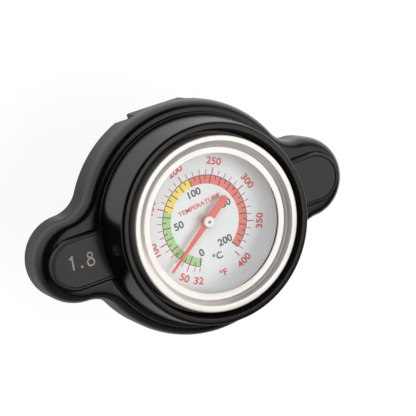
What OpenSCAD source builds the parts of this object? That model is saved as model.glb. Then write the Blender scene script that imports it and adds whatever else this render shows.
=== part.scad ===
// Radiator cap with a built-in dial thermometer.
// Millimetres. The origin is on the cap's axis, in the plane where the upper gasket meets the
// filler neck. +Z points up through the dial and +X runs along the ears.

/* [Cap shell] */
// Outside diameter of the round body
body_d = 45; // [44:0.5:48]
// Overall width across the two ears
ears_span = 65; // [62:0.5:70]
// Radius of each ear's round end
ear_r = 8; // [7:0.25:9]
// Radius of the hollow blend between an ear and the body
blend_r = 6; // [5:0.25:8]
// Drop of the skirt below the neck seat
skirt_drop = 4.3; // [4.2:0.1:6]
// Height of the flange's flat top above the neck seat
flange_h = 4; // [3.8:0.1:4.6]
// Height of the round shoulder below the flange's flat top
shoulder_h = 3.8; // [2.5:0.1:4.5]
// Reach of the round shoulder in plan
shoulder_in = 1.5; // [1:0.1:1.6]
// Wall of the skirt on the round body
skirt_wall = 2.4; // [2.2:0.1:2.6]
// Thickness of the ceiling between the skirt and the gauge chamber
ceiling_t = 1.6; // [1.5:0.1:2]
// Half width of the flat on the skirt's side
skirt_flat_half = 8.3; // [7:0.1:9]
// Depth of the flat below the round body
skirt_flat_cut = 1.6; // [1:0.1:1.8]
// Half width of the pad that stands on the flat
skirt_pad_half = 5.5; // [4:0.1:6]
// Height of the pad above the flat
skirt_pad_h = 0.95; // [0.3:0.05:1]
// Height of the flat and its pad above the skirt's rim
skirt_flat_h = 4; // [2.5:0.1:4.4]

/* [Drum and ear pads] */
// Height of the drum above the flange
drum_h = 8.3; // [7.9:0.1:9.5]
// Width of the flange in plan, from the body's edge to the drum's foot
flange_w = 2.7; // [2.4:0.1:3]
// Draft of the drum's wall in plan, from its foot to its lip
drum_draft = 1.2; // [0.8:0.1:1.4]
// Radius of the hollow at the drum's foot
drum_foot_r = 0.6; // [0.3:0.05:0.7]
// Radius of the lip's outer edge
lip_r = 0.6; // [0.3:0.05:0.8]
// Width of the lip, from the drum's wall to its inner edge
lip_w = 1.2; // [1:0.1:1.4]
// Run of the chamfer inside the lip
lip_chamfer_w = 0.91; // [0.5:0.01:1.2]
// Depth of the chamfer inside the lip
lip_chamfer_h = 1; // [0.5:0.1:1.6]
// Run of an ear's raised pad inside the drum's wall
pad_root = 1.8; // [1:0.1:2]
// Half width of an ear's raised pad
pad_half = 4.6; // [3.6:0.1:5]
// Distance from the ear's centre out to the centre of the pad's round end
pad_shift = 1; // [0:0.1:1.6]
// Height of an ear's raised pad above the flange
pad_h = 1; // [0.6:0.1:1.4]
// Spread of the pad's sloping side
pad_slope = 0.5; // [0.2:0.05:0.8]
// Width of the rim round the pad's sunk face
pad_rim = 0.35; // [0.25:0.05:0.6]
// Depth of the pad's sunk face
pad_sink = 0.2; // [0.1:0.05:0.4]

/* [Gauge] */
// Depth of the pocket that takes the bezel, below the lip
pocket_depth = 3.8; // [3.4:0.1:3.9]
// Gap in plan between the bezel and its pocket
bezel_gap = 0.2; // [0.1:0.05:0.3]
// Width of the bezel in plan, from its outside to its opening
bezel_w = 3.29; // [3.1:0.01:3.7]
// Width of the bezel's lower lip, which closes under the case's flange
bezel_hem_w = 1.14; // [1:0.01:1.2]
// Width of the bezel's round crown
bezel_crown_w = 2; // [1.8:0.1:2.4]
// Height of the bezel's crown over the glass
bezel_crown_h = 1.5; // [1.2:0.1:1.8]
// Thickness of the bezel's inner flange over the glass
bezel_flange_t = 0.4; // [0.3:0.05:0.6]
// Thickness of the bezel's side wall and lower lip
bezel_wall = 0.45; // [0.35:0.05:0.55]
// Thickness of the glass
glass_t = 1.3; // [1:0.1:1.5]
// Thickness of the gasket under the glass
lens_gasket_t = 0.5; // [0.4:0.05:0.7]
// Sheet thickness of the gauge's case
case_t = 0.45; // [0.35:0.05:0.55]
// Gap in plan between the gauge's case and its chamber
case_gap = 0.15; // [0.1:0.05:0.2]
// Step between the case's upper and lower diameters, on each side
case_step = 1; // [0.9:0.05:1.2]
// Height of the dial's seat above the case's floor
dial_seat_h = 1.2; // [1:0.1:1.4]
// Margin of the reflector's mouth outside the bezel's opening
reflector_margin = 0.4; // [0.2:0.05:0.6]
// Thickness of the dial plate
dial_t = 0.5; // [0.3:0.05:0.6]
// Reach of the reflector's coved foot inwards from the bezel's opening
cove_w = 1.4; // [0.8:0.1:2]
// Running clearance of the parts that fit one inside another
fit_gap = 0.05; // [0.03:0.01:0.08]

/* [Pointer and probe] */
// Gap in plan between the pointer's tip and the reflector's mouth
pointer_tip_gap = 1.8; // [1.6:0.1:3]
// Reach of the pointer's tail
pointer_tail = 5.9; // [4:0.1:7]
// Width of the pointer's arm at the hub
pointer_root_w = 1; // [0.8:0.05:1.2]
// Width of the pointer's arm at its tip
pointer_tip_w = 0.4; // [0.3:0.05:0.6]
// Width of the pointer's tail
pointer_tail_w = 1.35; // [1:0.05:1.6]
// Thickness of the pointer's blade
pointer_t = 0.3; // [0.2:0.05:0.4]
// Height of the pointer's blade above the dial
pointer_rise = 1.15; // [0.9:0.05:1.3]
// Direction in which the pointer rests, from +X
pointer_angle = 216.2; // [190:0.1:240]
// Diameter of the pointer's hub
pointer_hub_d = 2.8; // [2.4:0.1:3.4]
// Diameter of the cap on the pointer's hub
pointer_cap_d = 2.38; // [2:0.02:2.4]
// Height of the cap on the pointer's hub
pointer_cap_h = 0.6; // [0.4:0.05:0.8]
// Diameter of the arbor that turns the pointer
arbor_d = 1; // [0.9:0.05:1.1]
// Outside diameter of the temperature probe
probe_d = 6; // [5.8:0.05:6.1]
// Wall of the probe's tube
probe_wall = 0.4; // [0.3:0.05:0.5]
// Reach of the probe below the neck seat
probe_reach = 26.3; // [25:0.1:32]
// Height of the probe's rounded end
tip_nose_h = 1.6; // [1.2:0.1:3]
// Height of the spigot that plugs the probe's tube
tip_spigot_h = 2; // [1.6:0.1:3]
// Depth of the arbor's bearing in that spigot
tip_socket_h = 1.2; // [0.8:0.1:1.4]
// Width of the collar on the bush that carries the arbor
bush_collar_w = 1.5; // [1:0.1:2]
// Thickness of the bush's collar
bush_collar_t = 0.5; // [0.4:0.05:0.8]
// Length of the bush below its collar
bush_tail_h = 2.2; // [1.6:0.1:3]
// Thickness of the collar at the arbor's foot
arbor_collar_t = 0.6; // [0.4:0.05:0.8]
// Gap between that collar and what lies above and below it
arbor_collar_gap = 0.1; // [0.05:0.05:0.2]
// Gap between the pointer's hub and the dial
hub_gap = 0.3; // [0.2:0.05:0.5]
// Height of the pointer's hub above its blade
hub_over = 0.1; // [0.05:0.05:0.2]
// Turns of the bimetal coil inside the probe
coil_turns = 13; // [9:1:14]
// Width of the bimetal strip
coil_strip_w = 0.9; // [0.7:0.05:1]
// Thickness of the bimetal strip
coil_strip_t = 0.3; // [0.2:0.05:0.4]

/* [Bayonet and seat] */
// Sheet thickness of the bayonet cup
cup_t = 1; // [0.8:0.1:1]
// Height of the bayonet lugs above the skirt's rim
lug_rise = 0.5; // [0.3:0.1:1]
// Reach of a bayonet lug inwards from the cup's wall
lug_reach = 1.9; // [1:0.1:2]
// Half width of a bayonet lug in degrees
lug_half_angle = 25; // [16:1:30]
// Thickness of the spring disc over the upper gasket
disc_t = 0.4; // [0.3:0.05:0.5]
// Gap between the spring disc's edge and the bayonet cup's wall
disc_gap = 1.4; // [0.8:0.1:2]
// Thickness of the upper gasket
gasket_t = 1.15; // [1:0.05:1.4]
// Gap in plan between the upper gasket's edge and the bayonet lugs
gasket_gap = 0.2; // [0.1:0.05:0.8]
// Thickness of the main spring's upper seat
spring_seat_t = 0.5; // [0.4:0.05:0.6]
// Gap between the main spring and the rim of its upper seat
spring_seat_gap = 0.3; // [0.2:0.05:0.4]
// Thickness of the turned-down rim of the main spring's upper seat
spring_seat_rim_t = 0.4; // [0.3:0.05:0.5]
// Depth of the turned-down rim of the main spring's upper seat
spring_seat_rim = 0.9; // [0.5:0.1:1.2]
// Gap between the probe and the hollow rivet that holds the stack
sleeve_gap = 0.1; // [0.05:0.05:0.15]
// Wall of the rivet
sleeve_wall = 1.1; // [1:0.05:1.2]
// Width of the rivet's two heads beyond its wall
sleeve_head_w = 1.4; // [1:0.1:1.6]
// Thickness of the rivet's lower head
sleeve_foot_t = 0.75; // [0.5:0.05:0.8]
// Thickness of the rivet's upper head
sleeve_head_t = 0.6; // [0.5:0.05:0.8]

/* [Pressure and vacuum valves] */
// Depth of the pressure seal's face below the neck seat
valve_reach = 18.1; // [17.6:0.1:19.5]
// Diameter of the pressure seal
seal_d = 26; // [25:0.1:27]
// Thickness of the pressure seal
seal_t = 1.6; // [1.4:0.1:2]
// Depth of the recess inside the seal's raised face
seal_recess = 0.4; // [0.3:0.05:0.5]
// Margin of the seal beyond the pressure plate
seal_margin = 0.8; // [0.5:0.1:1.4]
// Thickness of the pressure plate
plate_t = 1; // [0.8:0.1:1.2]
// Height of the bell that slides on the rivet
bell_h = 8.6; // [8.4:0.1:9.2]
// Sheet thickness of the bell
bell_t = 0.6; // [0.5:0.05:0.7]
// Gap between the rivet's head and the bell that slides over it
bell_gap = 1; // [0.9:0.05:1.2]
// Margin of the pressure plate beyond the bell's flange
plate_margin = 1; // [0.6:0.1:1.4]
// Diameter of the windows in the bell's wall
bell_window_d = 2.4; // [1.6:0.1:2.8]
// Height of the windows' centres above the pressure plate
bell_window_h = 3.9; // [3:0.1:6]
// Number of windows in the bell's wall
bell_windows = 4; // [2:1:6]
// Wire diameter of the main spring
spring_wire = 1.6; // [1.4:0.05:1.7]
// Gap between the bell's wall and the main spring round it
spring_gap = 1.2; // [1:0.1:1.3]
// Gap between the springs' end turns
turn_gap = 0.5; // [0.45:0.05:0.6]
// Turns of the main spring
spring_turns = 4.5; // [4:0.5:4.5]
// Gap between the vacuum valve's stem and the eyelet round it
eyelet_gap = 1.5; // [1.4:0.05:1.6]
// Sheet thickness of the eyelet
eyelet_t = 0.4; // [0.3:0.05:0.45]
// Width of the eyelet's lower flange
eyelet_flange_w = 1.3; // [0.9:0.1:1.4]
// Reach of the vacuum valve's disc beyond the eyelet's flange
vacuum_margin = 1.4; // [1.2:0.1:1.6]
// Gap between the vacuum valve's disc and the seal's raised face round it
vacuum_side_gap = 0.6; // [0.4:0.1:0.8]
// Thickness of the vacuum valve's disc
vacuum_t = 0.6; // [0.4:0.05:0.8]
// Gap between the vacuum valve's disc and the eyelet above it
vacuum_gap = 0.4; // [0.2:0.05:0.5]
// Width of the vacuum disc's raised rim
vacuum_rim_w = 0.8; // [0.5:0.1:0.9]
// Gap between the probe and the vacuum valve's tubular stem
vacuum_stem_gap = 0.4; // [0.3:0.05:0.5]
// Wall of the vacuum valve's stem
vacuum_stem_wall = 0.6; // [0.5:0.05:0.65]
// Height of the vacuum spring
vacuum_spring_h = 3.2; // [3:0.1:3.4]
// Wire diameter of the vacuum spring
vacuum_wire = 0.4; // [0.3:0.05:0.4]
// Turns of the vacuum spring
vacuum_turns = 3; // [2:0.5:3]
// Thickness of the clip on the vacuum valve's stem
clip_t = 0.4; // [0.3:0.05:0.5]

/* [Hidden] */
$fn = 96;
arc_steps = 8;
over = 1;
// Gap to the walls that a part only passes by
loose_gap = 0.1;
// Gap at each end of a spring
spring_end_gap = 0.02;

// Shell, from the rim up
body_r = body_d / 2;
skirt_z = -skirt_drop;
skirt_bore_r = body_r - skirt_wall;
ear_x = ears_span / 2 - ear_r;
body_blend_r = body_r + blend_r;
ear_blend_r = ear_r + blend_r;
blend_x = (body_blend_r * body_blend_r - ear_blend_r * ear_blend_r + ear_x * ear_x) / (2 * ear_x);
blend_y = sqrt(body_blend_r * body_blend_r - blend_x * blend_x);
// How far the blend bites into the body and the ear, so that it meets them at a clean edge
blend_bite = 0.03;
lip_z = flange_h + drum_h;
drum_foot_x = body_r - flange_w;
drum_top_x = drum_foot_x - drum_draft;
lip_bore_r = drum_top_x - lip_w;
pad_z = flange_h + pad_h;
pad_start_x = drum_foot_x - pad_root;
pad_end_x = ear_x + pad_shift;
skirt_flat_y = body_r - skirt_flat_cut;
skirt_pad_y = skirt_flat_y + skirt_pad_h;

// Stack between the neck seat and the ceiling
disc_z = gasket_t;
cup_z = disc_z + disc_t + fit_gap;
ceiling_z = cup_z + cup_t;
chamber_z = ceiling_z + ceiling_t;
cup_r = skirt_bore_r - loose_gap;
cup_bore_r = cup_r - cup_t;
lug_z = skirt_z + lug_rise;
lug_inner_r = cup_bore_r - lug_reach;
disc_r = cup_bore_r - disc_gap;
gasket_r = lug_inner_r - gasket_gap;
probe_r = probe_d / 2;
sleeve_bore_r = probe_r + sleeve_gap;
sleeve_r = sleeve_bore_r + sleeve_wall;
sleeve_head_r = sleeve_r + sleeve_head_w;
sleeve_hole_r = sleeve_r + fit_gap;
sleeve_top_z = chamber_z;

// Gauge, from the bezel inwards and from the case's floor up
pocket_r = lip_bore_r - lip_chamfer_w;
bezel_r = pocket_r - bezel_gap;
case_bore_r = bezel_r - bezel_hem_w;
case_r = case_bore_r - case_gap;
case_low_r = case_r - case_step;
case_z = chamber_z + fit_gap;
case_floor_z = case_z + case_t;
dial_z = case_floor_z + dial_seat_h;
dial_face_z = dial_z + dial_t;
bezel_z = lip_z - pocket_depth;
case_flange_z = bezel_z + bezel_wall;
lens_gasket_z = case_flange_z + case_t;
glass_z = lens_gasket_z + lens_gasket_t;
glass_top_z = glass_z + glass_t;
bezel_opening_r = bezel_r - bezel_w;
bezel_bore_r = bezel_r - bezel_wall;
glass_r = bezel_bore_r - loose_gap;
crown_half = bezel_crown_w / 2;
crown_x = bezel_r - crown_half;
crown_z = glass_top_z + bezel_crown_h;
// Level from which the crown rises
crown_foot_z = glass_top_z + bezel_flange_t;
reflector_r = case_r - case_t - fit_gap;
reflector_foot_x = bezel_opening_r - cove_w;
reflector_top_x = bezel_opening_r + reflector_margin;
reflector_lip = 0.1;
o_ring_r = (case_bore_r - case_low_r) / 2 - fit_gap / 2;
o_ring_x = (case_bore_r + case_low_r) / 2;

// Pointer, arbor and probe
arbor_r = arbor_d / 2;
arbor_bore_r = arbor_r + fit_gap;
pointer_z = dial_face_z + pointer_rise;
pointer_reach = reflector_top_x - pointer_tip_gap;
hub_z = dial_face_z + hub_gap;
hub_top_z = pointer_z + pointer_t + hub_over;
hub_r = pointer_hub_d / 2;
pointer_cap_r = pointer_cap_d / 2;
probe_bore_r = probe_r - probe_wall;
bush_r = probe_bore_r - fit_gap;
bush_collar_r = probe_r + bush_collar_w;
bush_tail_z = case_floor_z - bush_tail_h;
bush_boss_r = hub_r + loose_gap;
tip_z = -probe_reach;
tip_shoulder_z = tip_z + tip_nose_h;
tip_top_z = tip_shoulder_z + tip_spigot_h;
arbor_z = tip_top_z - tip_socket_h + arbor_collar_gap;
collar_r = probe_bore_r - 4 * loose_gap;
collar_z = tip_top_z + arbor_collar_gap;
coil_z = collar_z + arbor_collar_t + arbor_collar_gap;
coil_top_z = bush_tail_z;
coil_r = (arbor_r + probe_bore_r + coil_strip_t) / 2;

// Seat stack below the ceiling
spring_seat_z = gasket_t - spring_seat_t;
bell_bore_r = sleeve_head_r + bell_gap;
bell_r = bell_bore_r + bell_t;
spring_r = bell_r + spring_gap + spring_wire / 2;
spring_seat_r = spring_r + spring_wire / 2 + spring_seat_gap + spring_seat_rim_t;
gasket_bore_r = spring_seat_r + loose_gap;

// Pressure valve, from its face up
seal_z = -valve_reach;
seal_r = seal_d / 2;
recess_z = seal_z + seal_recess;
plate_z = seal_z + seal_t;
bell_z = plate_z + plate_t;
plate_r = seal_r - seal_margin;
bell_flange_r = plate_r - plate_margin;
bell_top_z = bell_z + bell_h;
bell_hole_r = sleeve_r + loose_gap;
bell_window_z = bell_z + bell_window_h;
sleeve_foot_head_z = bell_top_z - bell_t - fit_gap;
stem_bore_r = probe_r + vacuum_stem_gap;
stem_r = stem_bore_r + vacuum_stem_wall;
eyelet_bore_r = stem_r + eyelet_gap;
eyelet_r = eyelet_bore_r + eyelet_t;
eyelet_roll_r = bell_bore_r - loose_gap;
eyelet_flange_r = eyelet_r + eyelet_flange_w;
eyelet_z = recess_z - eyelet_t;
eyelet_top_z = bell_z + eyelet_t;

// Vacuum valve, from its disc up
vacuum_r = eyelet_flange_r + vacuum_margin;
seal_face_bore_r = vacuum_r + vacuum_side_gap;
vacuum_rim_z = recess_z - fit_gap;
vacuum_top_z = eyelet_z - vacuum_gap;
vacuum_z = vacuum_top_z - vacuum_t;
clip_z = eyelet_top_z + vacuum_spring_h;
clip_r = bell_bore_r - 4 * loose_gap;
stem_top_z = clip_z + clip_t;
vacuum_spring_r = eyelet_roll_r - vacuum_wire / 2 - loose_gap;

// Points of an elliptical arc from angle a to angle b
function arc(x, z, rx, rz, a, b, steps = arc_steps) =
    [for (i = [0:steps]) let (t = a + (b - a) * i / steps) [x + rx * cos(t), z + rz * sin(t)]];

// Points of the round shoulder on a wall of radius r: inward for a post, outward for a hollow
function shoulder(r, way = 1) =
    [for (p = arc(0, flange_h - shoulder_h, shoulder_in, shoulder_h, 0, 90))
        [r - way * (shoulder_in - p[0]), p[1]]];

// Points of a ring of a swept wire: sides points of radius wr about a centre at radius r and angle a
function wire_ring(r, a, z, wx, wz, sides, turn) =
    [for (k = [0:sides - 1]) let (t = turn + 360 * k / sides, x = r + wx * cos(t))
        [x * cos(a), x * sin(a), z + wz * sin(t)]];

// Triangles of a tube of rings of points, closed at both ends
function tube_faces(rings, sides) = concat(
    [for (i = [0:rings - 2], k = [0:sides - 1]) let (p = i * sides + k, q = i * sides + (k + 1) % sides)
        each [[p, p + sides, q], [q, p + sides, q + sides]]],
    [for (k = [1:sides - 2]) [0, k, k + 1]],
    [for (k = [1:sides - 2]) let (e = (rings - 1) * sides) [e, e + k + 1, e + k]]
);

// Height of a spring's wire after t turns of n: its end turns are close and the rest are even
function spring_rise(t, n, close, h) =
    t < 1 ? close * t :
    t > n - 1 ? h - close * (n - t) :
    close + (h - 2 * close) * (t - 1) / (n - 2);

// Revolves a list of points, each a distance from the axis and a height
module turned(points) {
    rotate_extrude() polygon(points);
}

// Flat ring between two radii
module ring(outer, inner, z, h) {
    translate([0, 0, z]) difference() {
        cylinder(r = outer, h = h);
        translate([0, 0, -over]) cylinder(r = inner, h = h + 2 * over);
    }
}

// Post with the shell's round shoulder
module rounded_post(r) {
    turned(concat([[0, skirt_z], [r, skirt_z]], shoulder(r), [[0, flange_h]]));
}

// Hollow that leaves the same shoulder on the metal round it
module rounded_hollow(r) {
    top = shoulder(r, -1);
    turned(concat([[0, skirt_z - over], [r, skirt_z - over]], top,
        [[top[arc_steps][0], flange_h + over], [0, flange_h + over]]));
}

// Metal between the body and one ear, with its two hollow blends; sign is the ear's side
module ear_web(sign) {
    difference() {
        translate([0, 0, skirt_z]) linear_extrude(height = flange_h - skirt_z)
            polygon([[0, 0], [sign * blend_x, -blend_y], [sign * ear_x, 0], [sign * blend_x, blend_y]]);
        for (y = [-1, 1])
            translate([sign * blend_x, y * blend_y, 0]) rounded_hollow(blend_r + blend_bite);
    }
}

// Raised pad on one ear, with its sunk face
module ear_pad(sign) {
    difference() {
        hull() {
            translate([sign * pad_end_x, 0, flange_h - 0.5])
                cylinder(r1 = pad_half + pad_slope, r2 = pad_half, h = pad_h + 0.5, $fn = 32);
            translate([sign * pad_start_x, 0, flange_h - 0.5])
                linear_extrude(height = 0.01) square([0.4, 2 * (pad_half + pad_slope)], center = true);
            translate([sign * pad_start_x, 0, pad_z - 0.01])
                linear_extrude(height = 0.01) square([0.4, 2 * pad_half], center = true);
        }
        translate([0, 0, pad_z - pad_sink]) linear_extrude(height = over) {
            translate([sign * pad_end_x, 0]) circle(r = pad_half - pad_rim);
            translate([sign * (pad_end_x + pad_start_x - 2) / 2, 0])
                square([pad_end_x - pad_start_x + 2, 2 * (pad_half - pad_rim)], center = true);
        }
    }
}

// Solid outside of the body and the drum
module body_and_drum() {
    turned(concat(
        [[0, skirt_z], [body_r, skirt_z]],
        shoulder(body_r),
        arc(drum_foot_x + drum_foot_r, flange_h + drum_foot_r, drum_foot_r, drum_foot_r, 270, 180, 5),
        arc(drum_top_x - lip_r, lip_z - lip_r, lip_r, lip_r, 5, 90, 6),
        [[0, lip_z]]
    ));
}

// Everything hollow inside the shell: skirt, rivet hole, gauge chamber and bezel pocket
module shell_hollow() {
    turned([
        [0, skirt_z - over], [skirt_bore_r, skirt_z - over], [skirt_bore_r, ceiling_z],
        [sleeve_hole_r, ceiling_z], [sleeve_hole_r, chamber_z - sleeve_head_t],
        [sleeve_head_r + loose_gap, chamber_z - sleeve_head_t],
        [sleeve_head_r + loose_gap, chamber_z], [case_bore_r, chamber_z],
        [case_bore_r, bezel_z], [pocket_r, bezel_z], [pocket_r, lip_z - lip_chamfer_h],
        [lip_bore_r, lip_z], [lip_bore_r, lip_z + over], [0, lip_z + over]
    ]);
}

// Flat on one side of the skirt, with a pad left standing on it
module skirt_flat() {
    difference() {
        translate([-skirt_flat_half, skirt_flat_y, skirt_z - over])
            cube([2 * skirt_flat_half, body_r, skirt_flat_h + over]);
        translate([-skirt_pad_half, 0, skirt_z - 2 * over])
            cube([2 * skirt_pad_half, skirt_pad_y, skirt_flat_h + 4 * over]);
    }
}

module cap_shell() {
    color("dimgray") difference() {
        union() {
            body_and_drum();
            for (x = [-1, 1]) {
                translate([x * ear_x, 0, 0]) rounded_post(ear_r);
                ear_web(x);
                ear_pad(x);
            }
        }
        shell_hollow();
        skirt_flat();
        mirror([0, 1, 0]) skirt_flat();
    }
}

module bayonet_cup() {
    color("silver") {
        turned(concat(
            [[sleeve_hole_r, cup_z], [cup_bore_r, cup_z], [cup_bore_r, lug_z], [cup_r, lug_z]],
            arc(cup_bore_r, ceiling_z - cup_t, cup_t, cup_t, 0, 90),
            [[sleeve_hole_r, ceiling_z]]
        ));
        for (side = [90, 270]) rotate(side - lug_half_angle)
            rotate_extrude(angle = 2 * lug_half_angle)
                translate([lug_inner_r, lug_z]) square([cup_r - cup_t / 2 - lug_inner_r, cup_t]);
    }
}

module centre_sleeve() {
    foot_z = sleeve_foot_head_z - sleeve_foot_t;
    color("goldenrod") turned([
        [sleeve_bore_r, foot_z], [sleeve_head_r, foot_z], [sleeve_head_r, sleeve_foot_head_z],
        [sleeve_r, sleeve_foot_head_z], [sleeve_r, chamber_z - sleeve_head_t],
        [sleeve_head_r, chamber_z - sleeve_head_t], [sleeve_head_r, sleeve_top_z],
        [sleeve_bore_r, sleeve_top_z]
    ]);
}

module gauge_case() {
    inner_r = case_r - case_t;
    low_inner_r = case_low_r - case_t;
    flange_r = bezel_bore_r - loose_gap;
    color("gray") turned([
        [probe_r + fit_gap, case_z], [case_low_r, case_z], [case_low_r, dial_z - case_t],
        [case_r, dial_z - case_t], [case_r, case_flange_z], [flange_r, case_flange_z],
        [flange_r, lens_gasket_z], [inner_r, lens_gasket_z], [inner_r, dial_z],
        [low_inner_r, dial_z], [low_inner_r, case_floor_z], [probe_r + fit_gap, case_floor_z]
    ]);
}

module bezel_ring() {
    flange_half = (crown_x - crown_half - bezel_opening_r) / 2;
    color("gainsboro") turned(concat(
        [[case_bore_r, bezel_z], [bezel_r, bezel_z]],
        arc(crown_x, crown_foot_z, crown_half, crown_z - crown_foot_z, 0, 180, 12),
        arc(bezel_opening_r + flange_half, crown_foot_z - 0.1, flange_half, 0.25, 0, 180, 6),
        [[bezel_opening_r, glass_top_z], [bezel_bore_r, glass_top_z], [bezel_bore_r, case_flange_z],
            [case_bore_r, case_flange_z]]
    ));
}

module lens_glass() {
    color("lightcyan", 0.4) translate([0, 0, glass_z]) cylinder(r = glass_r, h = glass_t);
}

module lens_gasket() {
    color("black") ring(glass_r, reflector_top_x, lens_gasket_z, lens_gasket_t);
}

module reflector_ring() {
    rise = lens_gasket_z - dial_face_z;
    color("white") turned(concat(
        [[reflector_foot_x, dial_face_z], [reflector_foot_x, dial_face_z + reflector_lip]],
        arc(reflector_foot_x, lens_gasket_z, reflector_top_x - reflector_foot_x, rise - reflector_lip,
            280, 360),
        [[reflector_r, lens_gasket_z], [reflector_r, dial_face_z]]
    ));
}

module dial_plate() {
    color("white") ring(reflector_r, bush_boss_r + fit_gap, dial_z, dial_t);
}

module gauge_o_ring() {
    color("black") rotate_extrude() translate([o_ring_x, chamber_z + o_ring_r]) circle(r = o_ring_r);
}

module arbor_bush() {
    color("gold") turned([
        [arbor_bore_r, bush_tail_z], [bush_r, bush_tail_z], [bush_r, case_floor_z],
        [bush_collar_r, case_floor_z], [bush_collar_r, case_floor_z + bush_collar_t],
        [bush_boss_r, case_floor_z + bush_collar_t], [bush_boss_r, dial_face_z],
        [arbor_bore_r, dial_face_z]
    ]);
}

module probe_tube() {
    color("lightsteelblue") ring(probe_r, probe_bore_r, tip_shoulder_z, case_floor_z - tip_shoulder_z);
}

module probe_tip() {
    color("lightsteelblue") turned(concat(
        arc(0, tip_shoulder_z, probe_r, tip_nose_h, 270, 360),
        [[bush_r, tip_shoulder_z], [bush_r, tip_top_z], [arbor_bore_r, tip_top_z],
            [arbor_bore_r, tip_top_z - tip_socket_h], [0, tip_top_z - tip_socket_h]]
    ));
}

module bimetal_coil() {
    rings = coil_turns * 8 + 1;
    half = coil_strip_w / 2;
    rise = coil_top_z - coil_z - coil_strip_w;
    points = [for (i = [0:rings - 1]) each wire_ring(coil_r, 45 * i,
        coil_z + half + rise * i / (rings - 1), coil_strip_t / sqrt(2), coil_strip_w / sqrt(2), 4, 45)];
    echo("bimetal coil least gap to itself", rise / coil_turns - coil_strip_w);
    color("peru") polyhedron(points = points, faces = tube_faces(rings, 4));
}

module pointer_arbor() {
    color("silver") turned([
        [0, arbor_z], [arbor_r, arbor_z], [arbor_r, collar_z], [collar_r, collar_z],
        [collar_r, collar_z + arbor_collar_t], [arbor_r, collar_z + arbor_collar_t],
        [arbor_r, hub_top_z],
        [0, hub_top_z]
    ]);
}

module pointer_needle() {
    color("tomato") difference() {
        union() {
            translate([0, 0, hub_z]) cylinder(r = hub_r, h = hub_top_z - hub_z);
            rotate(pointer_angle) translate([0, 0, pointer_z]) linear_extrude(height = pointer_t) {
                polygon([[0, -pointer_root_w / 2], [pointer_reach, -pointer_tip_w / 2],
                    [pointer_reach, pointer_tip_w / 2], [0, pointer_root_w / 2]]);
                translate([-pointer_tail + pointer_tail_w / 2, -pointer_tail_w / 2])
                    square([pointer_tail - pointer_tail_w / 2, pointer_tail_w]);
                translate([-pointer_tail + pointer_tail_w / 2, 0]) circle(d = pointer_tail_w);
            }
        }
        translate([0, 0, hub_z - over]) cylinder(r = arbor_r + 0.01, h = hub_top_z - hub_z + 2 * over);
    }
}

module pointer_cap() {
    color("whitesmoke") turned(concat(
        [[0, hub_top_z], [pointer_cap_r, hub_top_z]],
        arc(0, hub_top_z + pointer_cap_h / 2, pointer_cap_r, pointer_cap_h / 2, 0, 90)
    ));
}

module spring_disc() {
    color("silver") ring(disc_r, sleeve_r + fit_gap, disc_z, disc_t);
}

module upper_gasket() {
    color("black") ring(gasket_r, gasket_bore_r, 0, gasket_t);
}

module spring_seat() {
    color("silver") turned([
        [sleeve_r + loose_gap, spring_seat_z], [spring_seat_r - spring_seat_rim_t, spring_seat_z],
        [spring_seat_r - spring_seat_rim_t, spring_seat_z - spring_seat_rim],
        [spring_seat_r, spring_seat_z - spring_seat_rim], [spring_seat_r, gasket_t],
        [sleeve_r + loose_gap, gasket_t]
    ]);
}

// Coil spring of round wire between two heights, its end turns lying close
module coil_spring(r, wire, turns, low, high, name) {
    rings = turns * 8 + 1;
    wire_r = wire / 2;
    close = wire + turn_gap;
    rise = high - low - wire;
    heights = [for (i = [0:rings - 1]) low + wire_r + spring_rise(i / 8, turns, close, rise)];
    points = [for (i = [0:rings - 1]) each wire_ring(r, 45 * i, heights[i], wire_r, wire_r, 6, 30)];
    echo(str(name, " least gap to itself"),
        min([for (i = [0:rings - 9]) heights[i + 8] - heights[i]]) - wire);
    polyhedron(points = points, faces = tube_faces(rings, 6));
}

module pressure_spring() {
    color("lightgray") coil_spring(spring_r, spring_wire, spring_turns,
        bell_z + bell_t + spring_end_gap, spring_seat_z - spring_end_gap, "main spring");
}

module valve_bell() {
    color("silver") difference() {
        turned([
            [bell_bore_r, bell_z], [bell_flange_r, bell_z], [bell_flange_r, bell_z + bell_t],
            [bell_r, bell_z + bell_t], [bell_r, bell_top_z], [bell_hole_r, bell_top_z],
            [bell_hole_r, bell_top_z - bell_t], [bell_bore_r, bell_top_z - bell_t]
        ]);
        for (i = [0:bell_windows - 1]) rotate(360 * i / bell_windows + 45)
            translate([0, 0, bell_window_z]) rotate([0, 90, 0])
                translate([0, 0, bell_bore_r - over]) cylinder(d = bell_window_d, h = bell_t + 2 * over);
    }
}

module pressure_plate() {
    color("silver") ring(plate_r, eyelet_r + fit_gap, plate_z, plate_t);
}

module pressure_seal() {
    color("black") turned([
        [eyelet_r + fit_gap, recess_z], [seal_face_bore_r, recess_z],
        [seal_face_bore_r, seal_z], [seal_r, seal_z], [seal_r, plate_z],
        [eyelet_r + fit_gap, plate_z]
    ]);
}

module seal_eyelet() {
    color("gold") turned([
        [eyelet_bore_r, eyelet_z], [eyelet_flange_r, eyelet_z], [eyelet_flange_r, recess_z],
        [eyelet_r, recess_z], [eyelet_r, bell_z], [eyelet_roll_r, bell_z],
        [eyelet_roll_r, eyelet_top_z], [eyelet_bore_r, eyelet_top_z]
    ]);
}

module vacuum_disc() {
    color("gold") turned([
        [stem_bore_r, vacuum_z], [vacuum_r, vacuum_z], [vacuum_r, vacuum_rim_z],
        [vacuum_r - vacuum_rim_w, vacuum_rim_z], [vacuum_r - vacuum_rim_w, vacuum_top_z],
        [stem_r, vacuum_top_z], [stem_r, stem_top_z], [stem_bore_r, stem_top_z]
    ]);
}

module vacuum_clip() {
    color("silver") ring(clip_r, stem_r + fit_gap / 2, clip_z, clip_t);
}

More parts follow.
